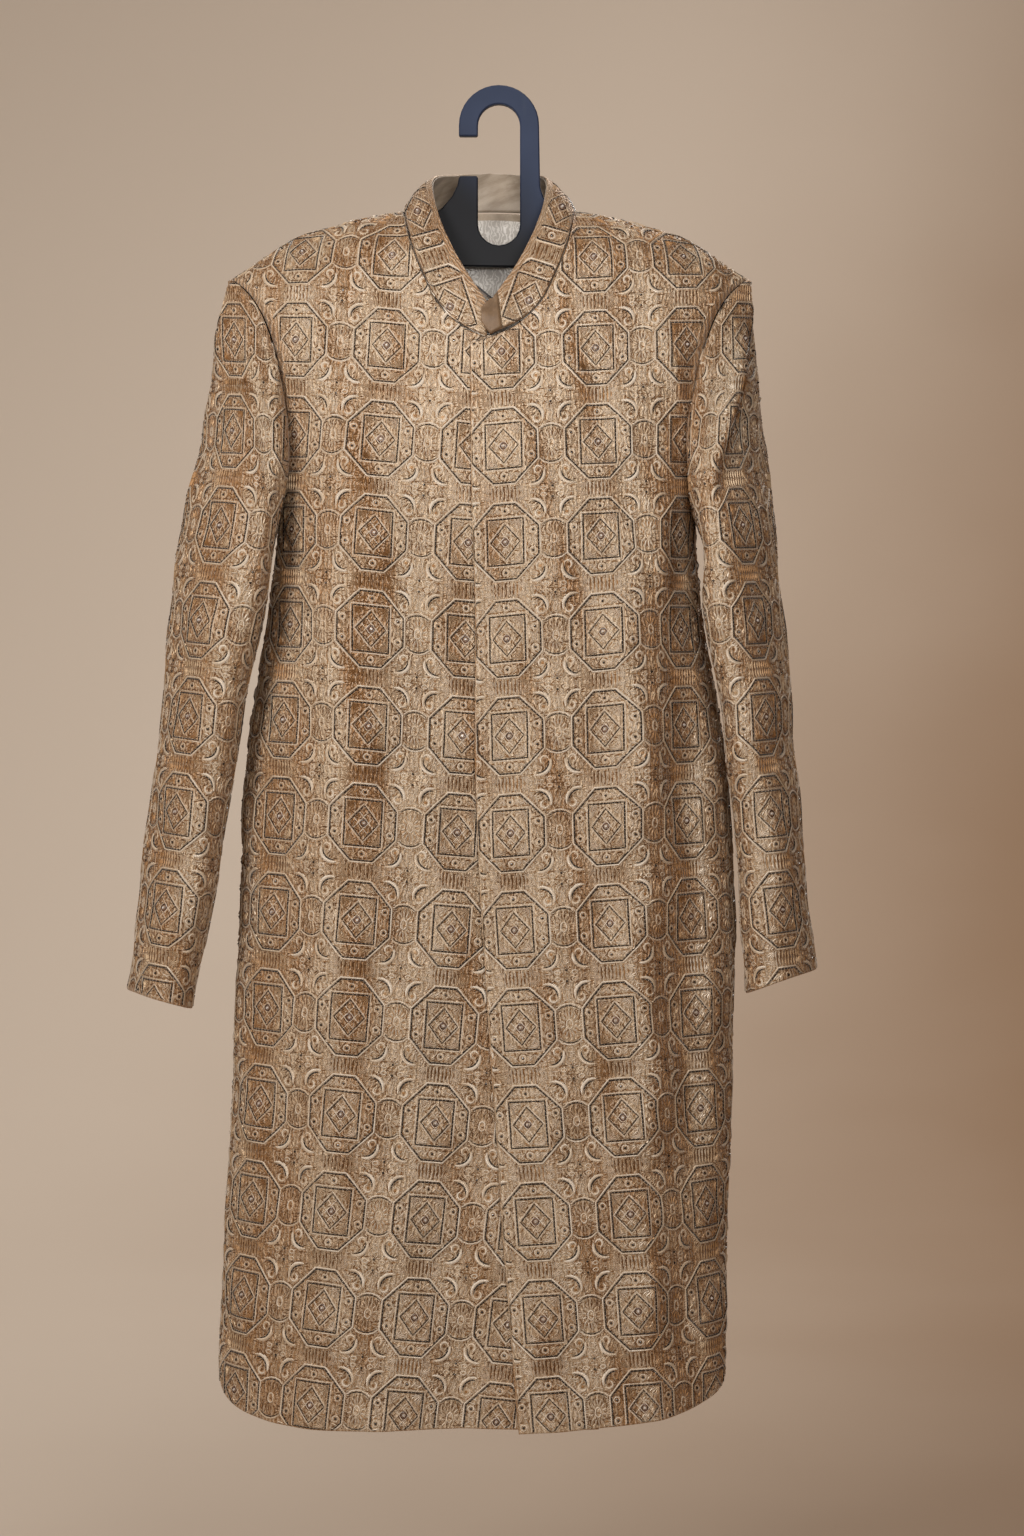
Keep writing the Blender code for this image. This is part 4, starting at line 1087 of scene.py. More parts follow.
def mesh_object(
    name, points, faces, materials,
    slots=None, flat=None, tone=None, lie=None, turn=None, smooth_faces=True,
):
    """An object of one mesh, built from arrays."""
    mesh = bpy.data.meshes.new(name)
    size = faces.shape[1]
    mesh.vertices.add(len(points))
    mesh.vertices.foreach_set("co", points.astype(np.float32).ravel())
    mesh.loops.add(faces.size)
    mesh.loops.foreach_set("vertex_index", faces.astype(np.int32).ravel())
    mesh.polygons.add(len(faces))
    mesh.polygons.foreach_set("loop_start", np.arange(0, faces.size, size, dtype=np.int32))
    mesh.polygons.foreach_set("use_smooth", np.full(len(faces), smooth_faces))
    for material in materials:
        mesh.materials.append(material)
    if slots is not None:
        mesh.polygons.foreach_set("material_index", slots.astype(np.int32))
    if flat is not None:
        layer = mesh.uv_layers.new(name="flat")
        layer.data.foreach_set("uv", flat[faces.ravel()].astype(np.float32).ravel())
    for label, values in (("tone", tone), ("turn", turn)):
        if values is not None:
            held = mesh.attributes.new(label, "FLOAT", "POINT")
            held.data.foreach_set("value", values.astype(np.float32))
    if lie is not None:
        cloth = mesh.attributes.new("lie", "FLOAT_VECTOR", "POINT")
        cloth.data.foreach_set("vector", lie.astype(np.float32).ravel())
    mesh.update(calc_edges=True)
    mesh.validate()
    piece = bpy.data.objects.new(name, mesh)
    bpy.context.scene.collection.objects.link(piece)
    return piece


# ---------------------------------------------------------------- one cell of the embroidery
# sizes in millimetres from the medallion's centre, y up
OCTAGON = (28.6, 32.8, 9.3, 12.3)    # half width, half height, half top flat, half side flat
FRAME = (15.7, 20.0)                 # the rectangle in the medallion
DIAMOND = (12.7, 15.2)
CORD_OFF = 1.55                      # a pale cord runs this far outside each dark line
CORD = (1.60, 1.25)                  # width of a cord and how far it stands up
BEADED = (1.55, 0.90)                # the same of a line of dark beads
HOOK = (24.2, 25.2, 10.0, 54.0)      # a hook's centre, radius and half sweep in degrees
SIDE_BEADS = ((0.0, 27.0), (24.0, 9.0))
HALF_CELL = (PITCH[0] * 500, PITCH[1] * 500)
PATH_STEP = 4.5                      # points of a straight side are no further apart than this
STITCH_GRID = 3.1                    # the ground's stitches lie about this far apart
STITCH = (1.25, 0.65)                # width of a stitch and how far it stands up
FULL_STITCH = {"size": (1.5, 0.8), "tone": 0.95}
DARK_STITCH = {"size": (1.2, 0.15), "tone": 0.0}
SUNK = -0.15                         # the edges of lines and beads lie this deep in the cloth
# single stitches in one corner of the medallion, from one end to the other
CORNER_STITCHES = (
    (3.5, 24.6, 8.0, 29.5), (4.5, 29.8, 9.5, 25.0), (9.5, 24.4, 13.5, 27.2), (11.0, 28.8, 15.5, 24.0),
    (20.0, 13.0, 26.5, 14.8), (19.0, 16.5, 24.0, 18.5), (20.0, 5.2, 22.4, 1.0), (27.0, 5.2, 23.0, 1.0),
    (19.4, 21.4, 17.2, 24.6), (20.4, 10.8, 19.4, 6.4),
)


def polygon(corners):
    """A closed path along straight sides, with points evenly along each."""
    path = []
    for one, two in zip(corners, corners[1:] + corners[:1]):
        one, two = np.array(one, float), np.array(two, float)
        count = max(1, int(np.ceil(np.linalg.norm(two - one) / PATH_STEP)))
        path += [one + (two - one) * k / count for k in range(count)]
    return np.array(path)


def octagon(grow=0.0):
    """The medallion's outline, or one that lies outside it."""
    wide, high, top, side = OCTAGON
    more = 0.42 * grow
    wide, high, top, side = wide + grow, high + grow, top + more, side + more
    corners = [(wide, side), (top, high), (-top, high), (-wide, side)]
    corners += [(-wide, -side), (-top, -high), (top, -high), (wide, -side)]
    return polygon(corners)


def rectangle(wide, high):
    """A rectangle given by its half width and half height."""
    return polygon([(wide, high), (-wide, high), (-wide, -high), (wide, -high)])


def diamond(wide, high):
    """A diamond given by its half width and half height."""
    return polygon([(wide, 0), (0, high), (-wide, 0), (0, -high)])


def turned(x, y, radius_x, radius_y, start, end, count):
    """Points of an arc of an ellipse, in degrees."""
    angle = np.radians(np.linspace(start, end, count))
    return np.stack([x + radius_x * np.cos(angle), y + radius_y * np.sin(angle)], axis=-1)


def toward(degrees):
    """The direction that lies this many degrees from +x."""
    return np.array([math.cos(math.radians(degrees)), math.sin(math.radians(degrees))])


class Cell:
    """One repeat of the embroidery, gathered by kind of thread or bead."""

    def __init__(self):
        self.kinds = {}
        self.traces = []

    def add(self, kind, points, faces, along, tone):
        """Put one more shape of a kind into the cell."""
        held = self.kinds.setdefault(kind, ([], [], [], []))
        shift = sum(len(part) for part in held[0])
        held[0].append(points)
        held[1].append(np.asarray(faces, int) + shift)
        held[2].append(along)
        held[3].append(np.full(len(points), tone, float))

    def line(self, kind, path, size, closed=False, taper=False, trace=True):
        """A raised line along a path, a ridge with its two edges in the cloth."""
        path = np.asarray(path, float)
        if closed:
            path = np.concatenate([path, path[:1]])
        width, up = size
        ahead = np.gradient(path, axis=0)
        if closed:
            ahead[0] = ahead[-1] = path[1] - path[-2]
        ahead = unit(ahead)
        aside = np.stack([-ahead[:, 1], ahead[:, 0]], axis=-1)
        wide = np.full(len(path), width / 2)
        tall = np.full(len(path), up)
        if taper:
            swell = np.sin(np.pi * np.linspace(0.04, 0.96, len(path))) ** 0.6
            wide, tall = wide * swell, tall * (0.4 + 0.6 * swell)
        run = np.concatenate([[0], np.cumsum(np.linalg.norm(np.diff(path, axis=0), axis=1))])
        left = np.column_stack([path + aside * wide[:, None], np.full(len(path), SUNK)])
        ridge = np.column_stack([path, tall])
        right = np.column_stack([path - aside * wide[:, None], np.full(len(path), SUNK)])
        points = np.stack([left, ridge, right], axis=1).reshape(-1, 3)
        faces = []
        for k in range(len(path) - 1):
            for s in (0, 1):
                a, b = 3 * k + s, 3 * k + s + 1
                faces += [(a, b, b + 3), (a, b + 3, a + 3)]
        along = np.stack([np.repeat(run, 3), np.tile([0.0, 0.5, 1.0], len(path))], axis=-1)
        self.add(kind, points, faces, along, 0.8)
        if trace:
            self.trace(path, ahead)

    def trace(self, path, ahead):
        """Remember a line and its direction, so that the ground's stitches echo it."""
        fine = np.linspace(0, len(path) - 1, 6 * len(path))
        order = np.arange(len(path))
        x, y = (np.interp(fine, order, path[:, k]) for k in (0, 1))
        u, v = (np.interp(fine, order, ahead[:, k]) for k in (0, 1))
        self.traces.append(np.stack([x, y, u, v], axis=-1))

    def dot(self, kind, x, y, radius, up, sides, table=0.0, tone=0.8):
        """A bead or stone: a dome, or with a flat table on top."""
        angle = np.linspace(0, 2 * np.pi, sides, endpoint=False) + 0.3
        ring = np.stack([np.cos(angle), np.sin(angle)], axis=-1)
        mid = max(table, 0.72)
        high = up if table else 0.75 * up
        low = np.column_stack([ring * radius + (x, y), np.full(sides, SUNK)])
        top = np.column_stack([ring * radius * mid + (x, y), np.full(sides, high)])
        points = np.concatenate([low, top, [(x, y, up)]])
        faces = []
        for k in range(sides):
            n = (k + 1) % sides
            faces += [(k, n, sides + n), (k, sides + n, sides + k), (sides + k, sides + n, 2 * sides)]
        self.add(kind, points, faces, np.zeros((len(points), 2)), tone)
        self.traces.append(np.column_stack([ring * radius + (x, y), -ring[:, 1], ring[:, 0]]))

    def stitch(self, start, end, tone, size=STITCH):
        """One thread's short stitch: a ridge of two faces."""
        start, end = np.asarray(start, float), np.asarray(end, float)
        width, up = size
        ahead = (end - start) / max(np.linalg.norm(end - start), 1e-9)
        aside = np.array([-ahead[1], ahead[0]]) * width / 2
        middle = (start + end) / 2
        points = np.array([(*start, up), (*(middle + aside), -0.1), (*end, up), (*(middle - aside), -0.1)])
        self.add("stitch", points, [(0, 2, 1), (0, 3, 2)], np.zeros((4, 2)), tone)

    def rays(self, x, y, inner, outer, angles, **how):
        """Stitches that stand round a place."""
        for angle in angles:
            way = toward(angle)
            self.stitch((x, y) + way * inner, (x, y) + way * outer, **how)


def draw_medallion(cell):
    """The octagon, its frame and diamond, with a stone in the middle."""
    cell.line("pale", octagon(CORD_OFF), CORD, closed=True)
    cell.line("dark", octagon(), BEADED, closed=True)
    wide, high = FRAME
    cell.line("pale", rectangle(wide + CORD_OFF, high + CORD_OFF), (1.05, 0.6), closed=True)
    cell.line("dark", rectangle(wide, high), BEADED, closed=True)
    wide, high = DIAMOND
    cell.line("pale", diamond(wide + 1.7, high + 2.0), (1.0, 0.6), closed=True)
    cell.line("dark", diamond(wide, high), (1.15, 0.9), closed=True)
    for third in (-0.34, 0.34):
        for lean in (-1, 1):
            one = np.array([wide * (third - 0.92) / 2, lean * high * (third + 0.92) / 2])
            two = np.array([wide * (third + 0.92) / 2, lean * high * (third - 0.92) / 2])
            cell.line("pale", np.linspace(one, two, 5), (1.1, 0.65), trace=False)
    cell.line("bronze", turned(0, 0, 2.7, 2.7, 0, 324, 10), (1.8, 1.0), closed=True)
    cell.dot("stone", 0, 0, 1.35, 1.5, sides=8, table=0.40)


def draw_medallion_fill(cell):
    """Fans of stitches in the frame's corners, stitches round them, and beads in the border."""
    for sx in (-1, 1):
        for sy in (-1, 1):
            corner = np.array([sx * (FRAME[0] - 1.2), sy * (FRAME[1] - 1.2)])
            for turn, far in ((14, 9.5), (31, 8.0), (50, 7.2), (68, 8.0), (82, 10.5)):
                way = toward(turn)[::-1] * (-sx, -sy)
                cell.stitch(corner + way * 1.2, corner + way * far, size=(1.5, 0.9), tone=0.95)
            for turn in (22, 40, 60, 76):
                way = toward(turn)[::-1] * (-sx, -sy)
                cell.stitch(corner + way * 2.5, corner + way * 6.5, **DARK_STITCH)
            for x0, y0, x1, y1 in CORNER_STITCHES:
                cell.stitch((sx * x0, sy * y0), (sx * x1, sy * y1), **FULL_STITCH)
    for x, y in SIDE_BEADS:
        for sx in (1, -1) if x else (1,):
            for sy in (-1, 1):
                cell.dot("bead", sx * x, sy * y, 1.35, 1.25, sides=6)
                cell.line("pale", turned(sx * x, sy * y, 2.7, 2.7, 0, 315, 8), (1.1, 0.6), closed=True)


def draw_hooks(cell):
    """Four hooks, each a swelling arc with a curl, outside the medallion's corners."""
    x, y, radius, sweep = HOOK
    for sx in (-1, 1):
        for sy in (-1, 1):
            mid = math.degrees(math.atan2(sy, sx))
            turn = sx * sy
            arc = turned(sx * x, sy * y, radius - 1.0, radius - 1.0, mid - sweep, mid + sweep, 11)
            cell.line("dark", arc, (1.7, 1.0), taper=True)
            outer = turned(sx * x, sy * y, radius + 1.0, radius + 1.0, mid - sweep - 6, mid + sweep + 6, 12)
            cell.line("pale", outer, (3.7, 1.7), taper=True)
            curl = turned(sx * (x + 5.6), sy * (y - 2.0), 3.4, 3.4, mid - 60 * turn, mid - 300 * turn, 9)
            cell.line("pale", curl, (2.3, 1.2), taper=True)
            cell.dot("disc", sx * (x + 5.6), sy * (y - 1.8), 1.6, 0.25, sides=8, tone=0.2)


def draw_sun(cell, x):
    """A sunburst between two medallions."""
    for sy in (-1, 1):
        roof = [(-9.6, 12.2), (-6.2, 14.9), (-2.0, 16.2), (2.0, 16.2), (6.2, 14.9), (9.6, 12.2)]
        roof = np.array(roof) * (1, sy)
        cell.line("dark", roof + (x, 0), (1.4, 0.7), taper=True)
        cell.line("pale", roof * (1.10, 1.10) + (x, 0), (1.4, 1.0))
    cell.line("pale", turned(x, 0, 2.7, 4.3, 0, 324, 10), (1.3, 0.9), closed=True)
    for k in range(14):
        way = toward(360 / 14 * (k + 0.5))
        cell.stitch(way * (3.9, 6.0) + (x, 0), way * (8.4, 12.4) + (x, 0), **FULL_STITCH)
        way = toward(360 / 14 * k)
        cell.stitch(way * (4.4, 6.6) + (x, 0), way * (8.4, 12.4) + (x, 0), **DARK_STITCH)
    for side in (-1, 1):
        for y in np.arange(-10.5, 11, 2.1):
            cell.stitch((x + side * 8.9, y), (x + side * 11.5, y), size=(1.1, 0.6), tone=0.95)
    for radius_x, radius_y, count in ((7.5, 11.5, 36), (5.0, 8.0, 24)):
        oval = turned(x, 0, radius_x, radius_y, 0, 350, count)
        cell.traces.append(np.column_stack([oval, np.tile([0.0, 1.0], (count, 1))]))


def draw_hatch(cell, y):
    """Upright bars between two medallions, with a fan at each end."""
    for k in range(8):
        x = -11.55 + 3.3 * k
        lean = 0.05 * x
        cell.stitch((x - lean, y - 7.2), (x, y + 0.4), size=(1.5, 0.9), tone=0.95)
        cell.stitch((x, y - 0.4), (x - lean, y + 7.2), size=(1.5, 0.9), tone=0.95)
        cell.stitch((x + 1.65, y - 6.4), (x + 1.65, y + 6.4), size=(1.5, 0.2), tone=0.0)
        path = np.column_stack([np.full(9, x), np.linspace(y - 6.5, y + 6.5, 9)])
        cell.traces.append(np.column_stack([path, np.tile([0.0, 1.0], (9, 1))]))
    for side in (-1, 1):
        for up in (-1, 1):
            for turn, far in ((70, 6.5), (52, 8.0), (36, 8.5), (20, 7.5)):
                way = toward(turn) * (side, up)
                start = np.array([side * 12.0, y - up * 6.4])
                cell.stitch(start + way * 1.0, start + way * far, size=(1.3, 0.8), tone=0.95)


def draw_flower(cell, x, y):
    """Two beads with their petals, where four medallions meet."""
    for side in (-1, 1):
        cell.dot("bead", x, y + side * 4.8, 1.25, 1.1, sides=6)
        petals = [side * angle for angle in (15, 52, 90, 128, 165)]
        cell.rays(x, y + side * 4.8, 1.8, 6.0, petals, **FULL_STITCH)
        sepals = [-side * angle for angle in (40, 90, 140)]
        cell.rays(x, y + side * 4.8, 1.8, 3.6, sepals, size=(1.0, 0.2), tone=0.0)
        for wide in (-1, 1):
            loop = turned(x + wide * 7.6, y + side * 3.0, 2.6, 1.7, 0, 300, 7)
            cell.line("pale", loop, (1.1, 0.7), closed=True)
            leaf = (x + wide * 10.4, y + side * 3.2), (x + wide * 13.4, y + side * 5.6)
            cell.stitch(*leaf, size=(1.3, 0.8), tone=0.95)
            stalk = (x + wide * 16.4, y), (x + wide * 16.4, y + side * 4.4)
            cell.stitch(*stalk, size=(2.4, 0.15), tone=0.0)
            cell.dot("bead", x + wide * 8.6, y + side * 8.6, 0.7, 0.7, sides=5)


def draw_ticks(cell):
    """Short stitches that stand on the outside of a medallion."""
    path = octagon(CORD_OFF + 2.4)
    ahead = unit(np.roll(path, -1, axis=0) - np.roll(path, 1, axis=0))
    for here, way in zip(path, ahead):
        for part in (0.0, 0.5):
            spot = here + way * part * 4.3
            if abs(spot[1]) < OCTAGON[3] - 1 or abs(spot[0]) < OCTAGON[2] + 1:
                continue
            out = np.array([way[1], -way[0]])
            cell.stitch(spot - out * 1.3, spot + out * 1.3, size=(1.2, 0.7), tone=0.95)


def fill_ground(cell):
    """Stitches that echo the lines near them, over all the ground between, darker near a line as painted
    shade beside its raised cord.
    """
    half = np.array(HALF_CELL)
    lines = np.concatenate(cell.traces)
    spread = []
    for dx in (-1, 0, 1):
        for dy in (-1, 0, 1):
            spread.append(lines + (dx * 2 * half[0], dy * 2 * half[1], 0, 0))
    lines = np.concatenate(spread)
    lines = lines[np.all(np.abs(lines[:, :2]) < half + 8, axis=1)]
    across = np.arange(-half[0] + STITCH_GRID / 2, half[0], STITCH_GRID)
    down = np.arange(-half[1] + STITCH_GRID / 2, half[1], STITCH_GRID * 0.8)
    for y in down:
        for x in across:
            spot = np.array([x, y]) + RANDOM.uniform(-0.9, 0.9, 2)
            gap = np.hypot(lines[:, 0] - spot[0], lines[:, 1] - spot[1])
            k = int(np.argmin(gap))
            turn, size, tone = RANDOM.uniform(0, 1, 3)
            if gap[k] < 1.25:
                continue
            way = lines[k, 2:] + RANDOM.normal(0, 0.28, 2)
            if turn > 0.80:
                way = np.array([-way[1], way[0]])
            way = way / max(np.linalg.norm(way), 1e-6) * (1.5 + 1.4 * size)
            # painted shade: the tone falls near a line, as if its raised cord shaded the ground; the rest
            # varies at random
            shade = min(1.0, max(0.0, (gap[k] - 1.4) / 2.4)) - 0.15 + 0.3 * tone
            cell.stitch(spot - way, spot + way, tone=shade)


def make_cell():
    """The whole repeat: for each kind of thread its points, faces, run and tone."""
    cell = Cell()
    draw_medallion(cell)
    draw_medallion_fill(cell)
    draw_hooks(cell)
    draw_sun(cell, HALF_CELL[0])
    draw_hatch(cell, HALF_CELL[1])
    draw_flower(cell, *HALF_CELL)
    draw_ticks(cell)
    fill_ground(cell)
    made = {}
    for kind, (points, faces, along, tone) in cell.kinds.items():
        made[kind] = tuple(np.concatenate(part) for part in (points, faces, along, tone))
    return made


# ---------------------------------------------------------------- laying the cell on a panel
MILLIMETRE = 0.001
GROUP_TURNS = 12             # passes that gather the points of one bead
CELL_REACH = 0.9             # a cell's shapes reach this far from its middle, in cells
BEADS = {"bead", "stone", "bronze", "disc"}   # kept only if all of the bead is on the panel
GROUPS = (
    ("cords", ("pale", "dark", "bronze")),
    ("stitches", ("stitch", "disc")),
    ("beads", ("bead", "stone")),
)


def lay(chart, kind, cell):
    """One kind of thread or bead over a whole panel."""
    points, faces, along, tone = cell[kind]
    low = np.floor(chart.flat.reshape(-1, 2).min(axis=0) / PITCH - CELL_REACH).astype(int)
    high = np.ceil(chart.flat.reshape(-1, 2).max(axis=0) / PITCH + CELL_REACH).astype(int)
    flat = np.column_stack([points[:, 0] * MILLIMETRE, -points[:, 1] * MILLIMETRE])
    out = []
    for col in range(low[0], high[0] + 1):
        for row in range(low[1], high[1] + 1):
            out.append(flat + (col * PITCH[0], row * PITCH[1]))
    copies = len(out)
    flat = np.concatenate(out)
    count = len(points)
    faces = (faces[None] + (np.arange(copies) * count)[:, None, None]).reshape(-1, 3)
    place = chart.find(flat)
    fits = chart.inside(place)
    if kind in BEADS:
        kept = bead_fits(cell[kind][1], fits.reshape(copies, count)).ravel()
    elif kind == "stitch":
        kept = np.all(fits[faces], axis=1)
    else:
        kept = np.any(fits[faces], axis=1)
    faces = faces[kept]
    used, again = np.unique(faces, return_inverse=True)
    up = np.tile(points[:, 2], copies)[used] * MILLIMETRE
    place = place[used]
    lie = unit(between(chart.normals, place[:, 0], place[:, 1]))
    turn = between(chart.turn[..., None], place[:, 0], place[:, 1])[:, 0]
    along, tone = np.tile(along, (copies, 1))[used], np.tile(tone, copies)[used]
    return chart.raised(place, up), again.reshape(-1, 3), along, tone, lie, turn


def bead_fits(faces, fits):
    """Whether each face is kept, in each copy of the cell: all of its bead has to fit."""
    group = np.arange(fits.shape[1])
    for _ in range(GROUP_TURNS):
        low = group[faces].min(axis=1)
        for k in range(3):
            np.minimum.at(group, faces[:, k], low)
    whole = np.ones(fits.shape, bool)
    for name in np.unique(group):
        whole[:, group == name] = np.all(fits[:, group == name], axis=1)[:, None]
    return whole[:, faces[:, 0]]


# ---------------------------------------------------------------- materials
def linear(red, green, blue):
    """A colour given on the usual 0 to 255 screen scale, as the shader's linear values."""
    scaled = np.array([red, green, blue]) / 255
    value = np.where(scaled <= 0.04045, scaled / 12.92, ((scaled + 0.055) / 1.055) ** 2.4)
    return (*value.tolist(), 1.0)


class Tree:
    """Short words for building a material's nodes."""

    def __init__(self, name, **settings):
        self.material = bpy.data.materials.new(name)
        self.material.use_nodes = True
        self.tree = self.material.node_tree
        self.shader = self.tree.nodes["Principled BSDF"]
        for key, value in settings.items():
            self.shader.inputs[key.replace("_", " ")].default_value = value

    def node(self, kind, inputs=None, **settings):
        """A new node with its inputs fed and its settings made."""
        made = self.tree.nodes.new("ShaderNode" + kind)
        for key, value in settings.items():
            setattr(made, key, value)
        for key, value in (inputs or {}).items():
            self.feed(made, key, value)
        return made

    def feed(self, node, key, value):
        """Link or set one input of a node."""
        if isinstance(value, bpy.types.NodeSocket):
            self.tree.links.new(value, node.inputs[key])
        else:
            node.inputs[key].default_value = value

    def math(self, operation, *values):
        """One step of arithmetic."""
        return self.node("Math", dict(enumerate(values)), operation=operation).outputs[0]

    def plus(self, one, two):
        """The sum of two values."""
        return self.math("ADD", one, two)

    def minus(self, one, two):
        """The first value less the second."""
        return self.math("SUBTRACT", one, two)

    def times(self, one, two):
        """The product of two values."""
        return self.math("MULTIPLY", one, two)

    def place(self):
        """A point's own place, in metres."""
        return self.node("TexCoord").outputs["Object"]

    def flat_place(self):
        """The flat cloth's place in cells, or a thread's own run, as the UVs hold it."""
        return self.node("UVMap", uv_map="flat").outputs["UV"]

    def split(self, vector):
        """The three parts of a vector."""
        return self.node("SeparateXYZ", {0: vector}).outputs

    def mix(self, share, one, two):
        """From colour one at 0 to colour two at 1."""
        made = self.node("Mix", data_type="RGBA")
        self.feed(made, "Factor", share)
        self.feed(made, "A", one)
        self.feed(made, "B", two)
        return made.outputs["Result"]

    def ramp(self, value, low, high):
        """0 below low and 1 above high, smoothly."""
        made = self.node("MapRange", interpolation_type="SMOOTHSTEP")
        for key, given in (("Value", value), ("From Min", low), ("From Max", high)):
            self.feed(made, key, given)
        return made.outputs["Result"]

    def noise(self, where, scale, detail=2.0, rough=0.5, stretch=(1, 1, 1)):
        """Cloudy noise, finer as the scale grows."""
        spot = self.node("Mapping", {"Vector": where, "Scale": stretch})
        values = {"Vector": spot.outputs[0], "Scale": scale, "Detail": detail, "Roughness": rough}
        return self.node("TexNoise", values).outputs["Fac"]

    def wave(self, where, scale, distortion, detail):
        """Wavy bands across the cloth, as rows of quilting run."""
        values = {"Vector": where, "Scale": scale, "Distortion": distortion}
        values.update({"Detail": detail, "Detail Scale": 1.5})
        return self.node("TexWave", values, bands_direction="X").outputs["Fac"]

    def bump(self, height, distance, strength):
        """Fine relief, at most the distance high."""
        made = self.node("Bump", {"Height": height, "Distance": distance, "Strength": strength})
        self.feed(self.shader, "Normal", made.outputs[0])

    def painted_facing_shade(self, low, high, given=True):
        """Painted sheen and shade: 0 where the cloth faces the eye and 1 where it has turned away, as lit
        satin darkens at a slant.
        """
        inputs = {"Blend": 0.5}
        if given:
            inputs["Normal"] = self.node("Attribute", attribute_name="lie").outputs["Vector"]
        return self.ramp(self.node("LayerWeight", inputs).outputs["Facing"], low, high)

    def turned_over(self):
        """How far a fold turns the cloth towards +X, away from the key light: the materials paint shade by
        it.
        """
        return self.node("Attribute", attribute_name="turn").outputs["Fac"]

    def colour(self, value):
        """The material's colour."""
        self.feed(self.shader, "Base Color", value)

    def rough(self, value):
        """The material's roughness."""
        self.feed(self.shader, "Roughness", value)


# SAND and OCHRE also stand for the lit and the shaded silk: the materials mix them by painted sheen and
# shade as well as by tone. DEEP is the painted shade of the swirls' hollows and the low end of the
# stitches' tone.
PALE = linear(228, 215, 198)
SAND = linear(197, 172, 141)
OCHRE = linear(166, 122, 76)
DEEP = linear(112, 76, 42)


def brocade():
    """Silk brocade: sand and ochre silk, quilted by fine stitched swirls, with painted sheen, shade and
    highlight.
    """
    made = Tree("brocade_silk", Metallic=0.45, Sheen_Weight=0.15, Sheen_Roughness=0.35)
    where = made.flat_place()
    swirl = made.wave(where, 6.5, 7.0, detail=2.0)
    thread = made.wave(where, 17.0, 9.0, detail=2.0)
    fine = made.noise(where, 150.0, detail=3.0, rough=0.65)
    broad = made.noise(where, 1.2, detail=1.5, stretch=(1.6, 0.6, 1))
    patch = made.noise(where, 8.0, detail=1.5)
    warm = made.plus(made.times(broad, 0.8), made.times(patch, 0.2))
    # painted shade: warm is lowered, and the silk turns ochre, where the cloth faces away from the eye
    warm = made.minus(warm, made.times(made.painted_facing_shade(0.015, 0.22, False), 0.26))
    # painted shade: ochre where a fold turns the cloth away from the key light
    warm = made.minus(warm, made.times(made.turned_over(), 1.3))
    ground = made.mix(made.ramp(warm, 0.12, 0.56), OCHRE, SAND)
    # painted shade in the hollows of the swirls, which the bump sinks, and painted highlight on their
    # crests
    painted_hollow_shade = made.times(made.ramp(swirl, 0.45, 0.10), 0.30)
    ground = made.mix(painted_hollow_shade, ground, DEEP)
    ridge = made.times(made.ramp(swirl, 0.6, 1.0), 0.35)
    ground = made.mix(ridge, ground, PALE)
    strand = made.ramp(made.plus(thread, made.times(fine, 0.4)), 0.5, 1.2)
    made.colour(made.mix(made.times(strand, 0.22), ground, PALE))
    made.rough(made.plus(made.times(fine, 0.25), 0.38))
    height = made.plus(made.times(thread, 0.35), made.times(fine, 0.25))
    made.bump(made.plus(swirl, height), 0.0009, 0.8)
    return made.material


WOVEN_SCALE = 220.0
SLUB = 0.35                  # share of a woven cloth's colour that goes with its threads


def woven(name, one, two, roughness, sheen):
    """A plain satin or lining, with fine threads and slubs along them."""
    made = Tree(name, Sheen_Weight=sheen, Sheen_Roughness=0.35, Specular_IOR_Level=0.45)
    where = made.flat_place()
    across = made.noise(where, WOVEN_SCALE, stretch=(1, 0.12, 1))
    down = made.noise(where, WOVEN_SCALE, stretch=(0.12, 1, 1))
    cloud = made.noise(where, 6.0, detail=3.0)
    threads = made.times(made.plus(across, down), 0.5)
    share = made.plus(made.times(threads, SLUB), made.times(cloud, 1 - SLUB))
    made.colour(made.mix(made.ramp(share, 0.35, 0.65), one, two))
    made.rough(made.plus(made.times(threads, 0.2), roughness - 0.1))
    made.bump(threads, 0.00025, 0.6)
    return made.material


def silver_brocade():
    """The lining of the back's neck: silvery, with a small woven scroll."""
    made = Tree("silver_brocade", Sheen_Weight=0.3, Sheen_Roughness=0.3, Specular_IOR_Level=0.6)
    where = made.flat_place()
    scroll = made.wave(where, 7.0, 14.0, detail=3.0)
    fine = made.noise(where, 160.0, detail=2.0)
    figure = made.ramp(made.plus(scroll, made.times(fine, 0.5)), 0.6, 0.95)
    made.colour(made.mix(figure, linear(216, 209, 200), linear(244, 238, 230)))
    made.rough(made.minus(0.55, made.times(figure, 0.25)))
    made.bump(figure, 0.0002, 0.5)
    return made.material


def cord_thread():
    """Pale silvery cord: a twist along its length, with painted shade in its grooves and where it faces
    away from the eye.
    """
    made = Tree("pale_cord", Metallic=0.25, Sheen_Weight=0.4, Sheen_Roughness=0.3, Specular_IOR_Level=0.6)
    run = made.split(made.flat_place())
    twist = made.math("SINE", made.times(made.plus(run[0], run[1]), 6.2))
    place = made.place()
    worn = made.noise(place, 90.0, detail=2.0)
    pale = made.mix(made.ramp(worn, 0.35, 0.65), linear(226, 210, 190), linear(248, 240, 228))
    # painted shade: the cord darkens where it faces away from the eye
    pale = made.mix(made.times(made.painted_facing_shade(0.03, 0.30), 0.55), pale, linear(196, 166, 130))
    # painted shade in the grooves of the twist, which the bump sinks
    made.colour(made.mix(made.ramp(twist, -1.0, 0.0), linear(196, 168, 134), pale))
    made.rough(made.plus(made.times(worn, 0.2), 0.35))
    made.bump(twist, 0.0003, 0.5)
    return made.material


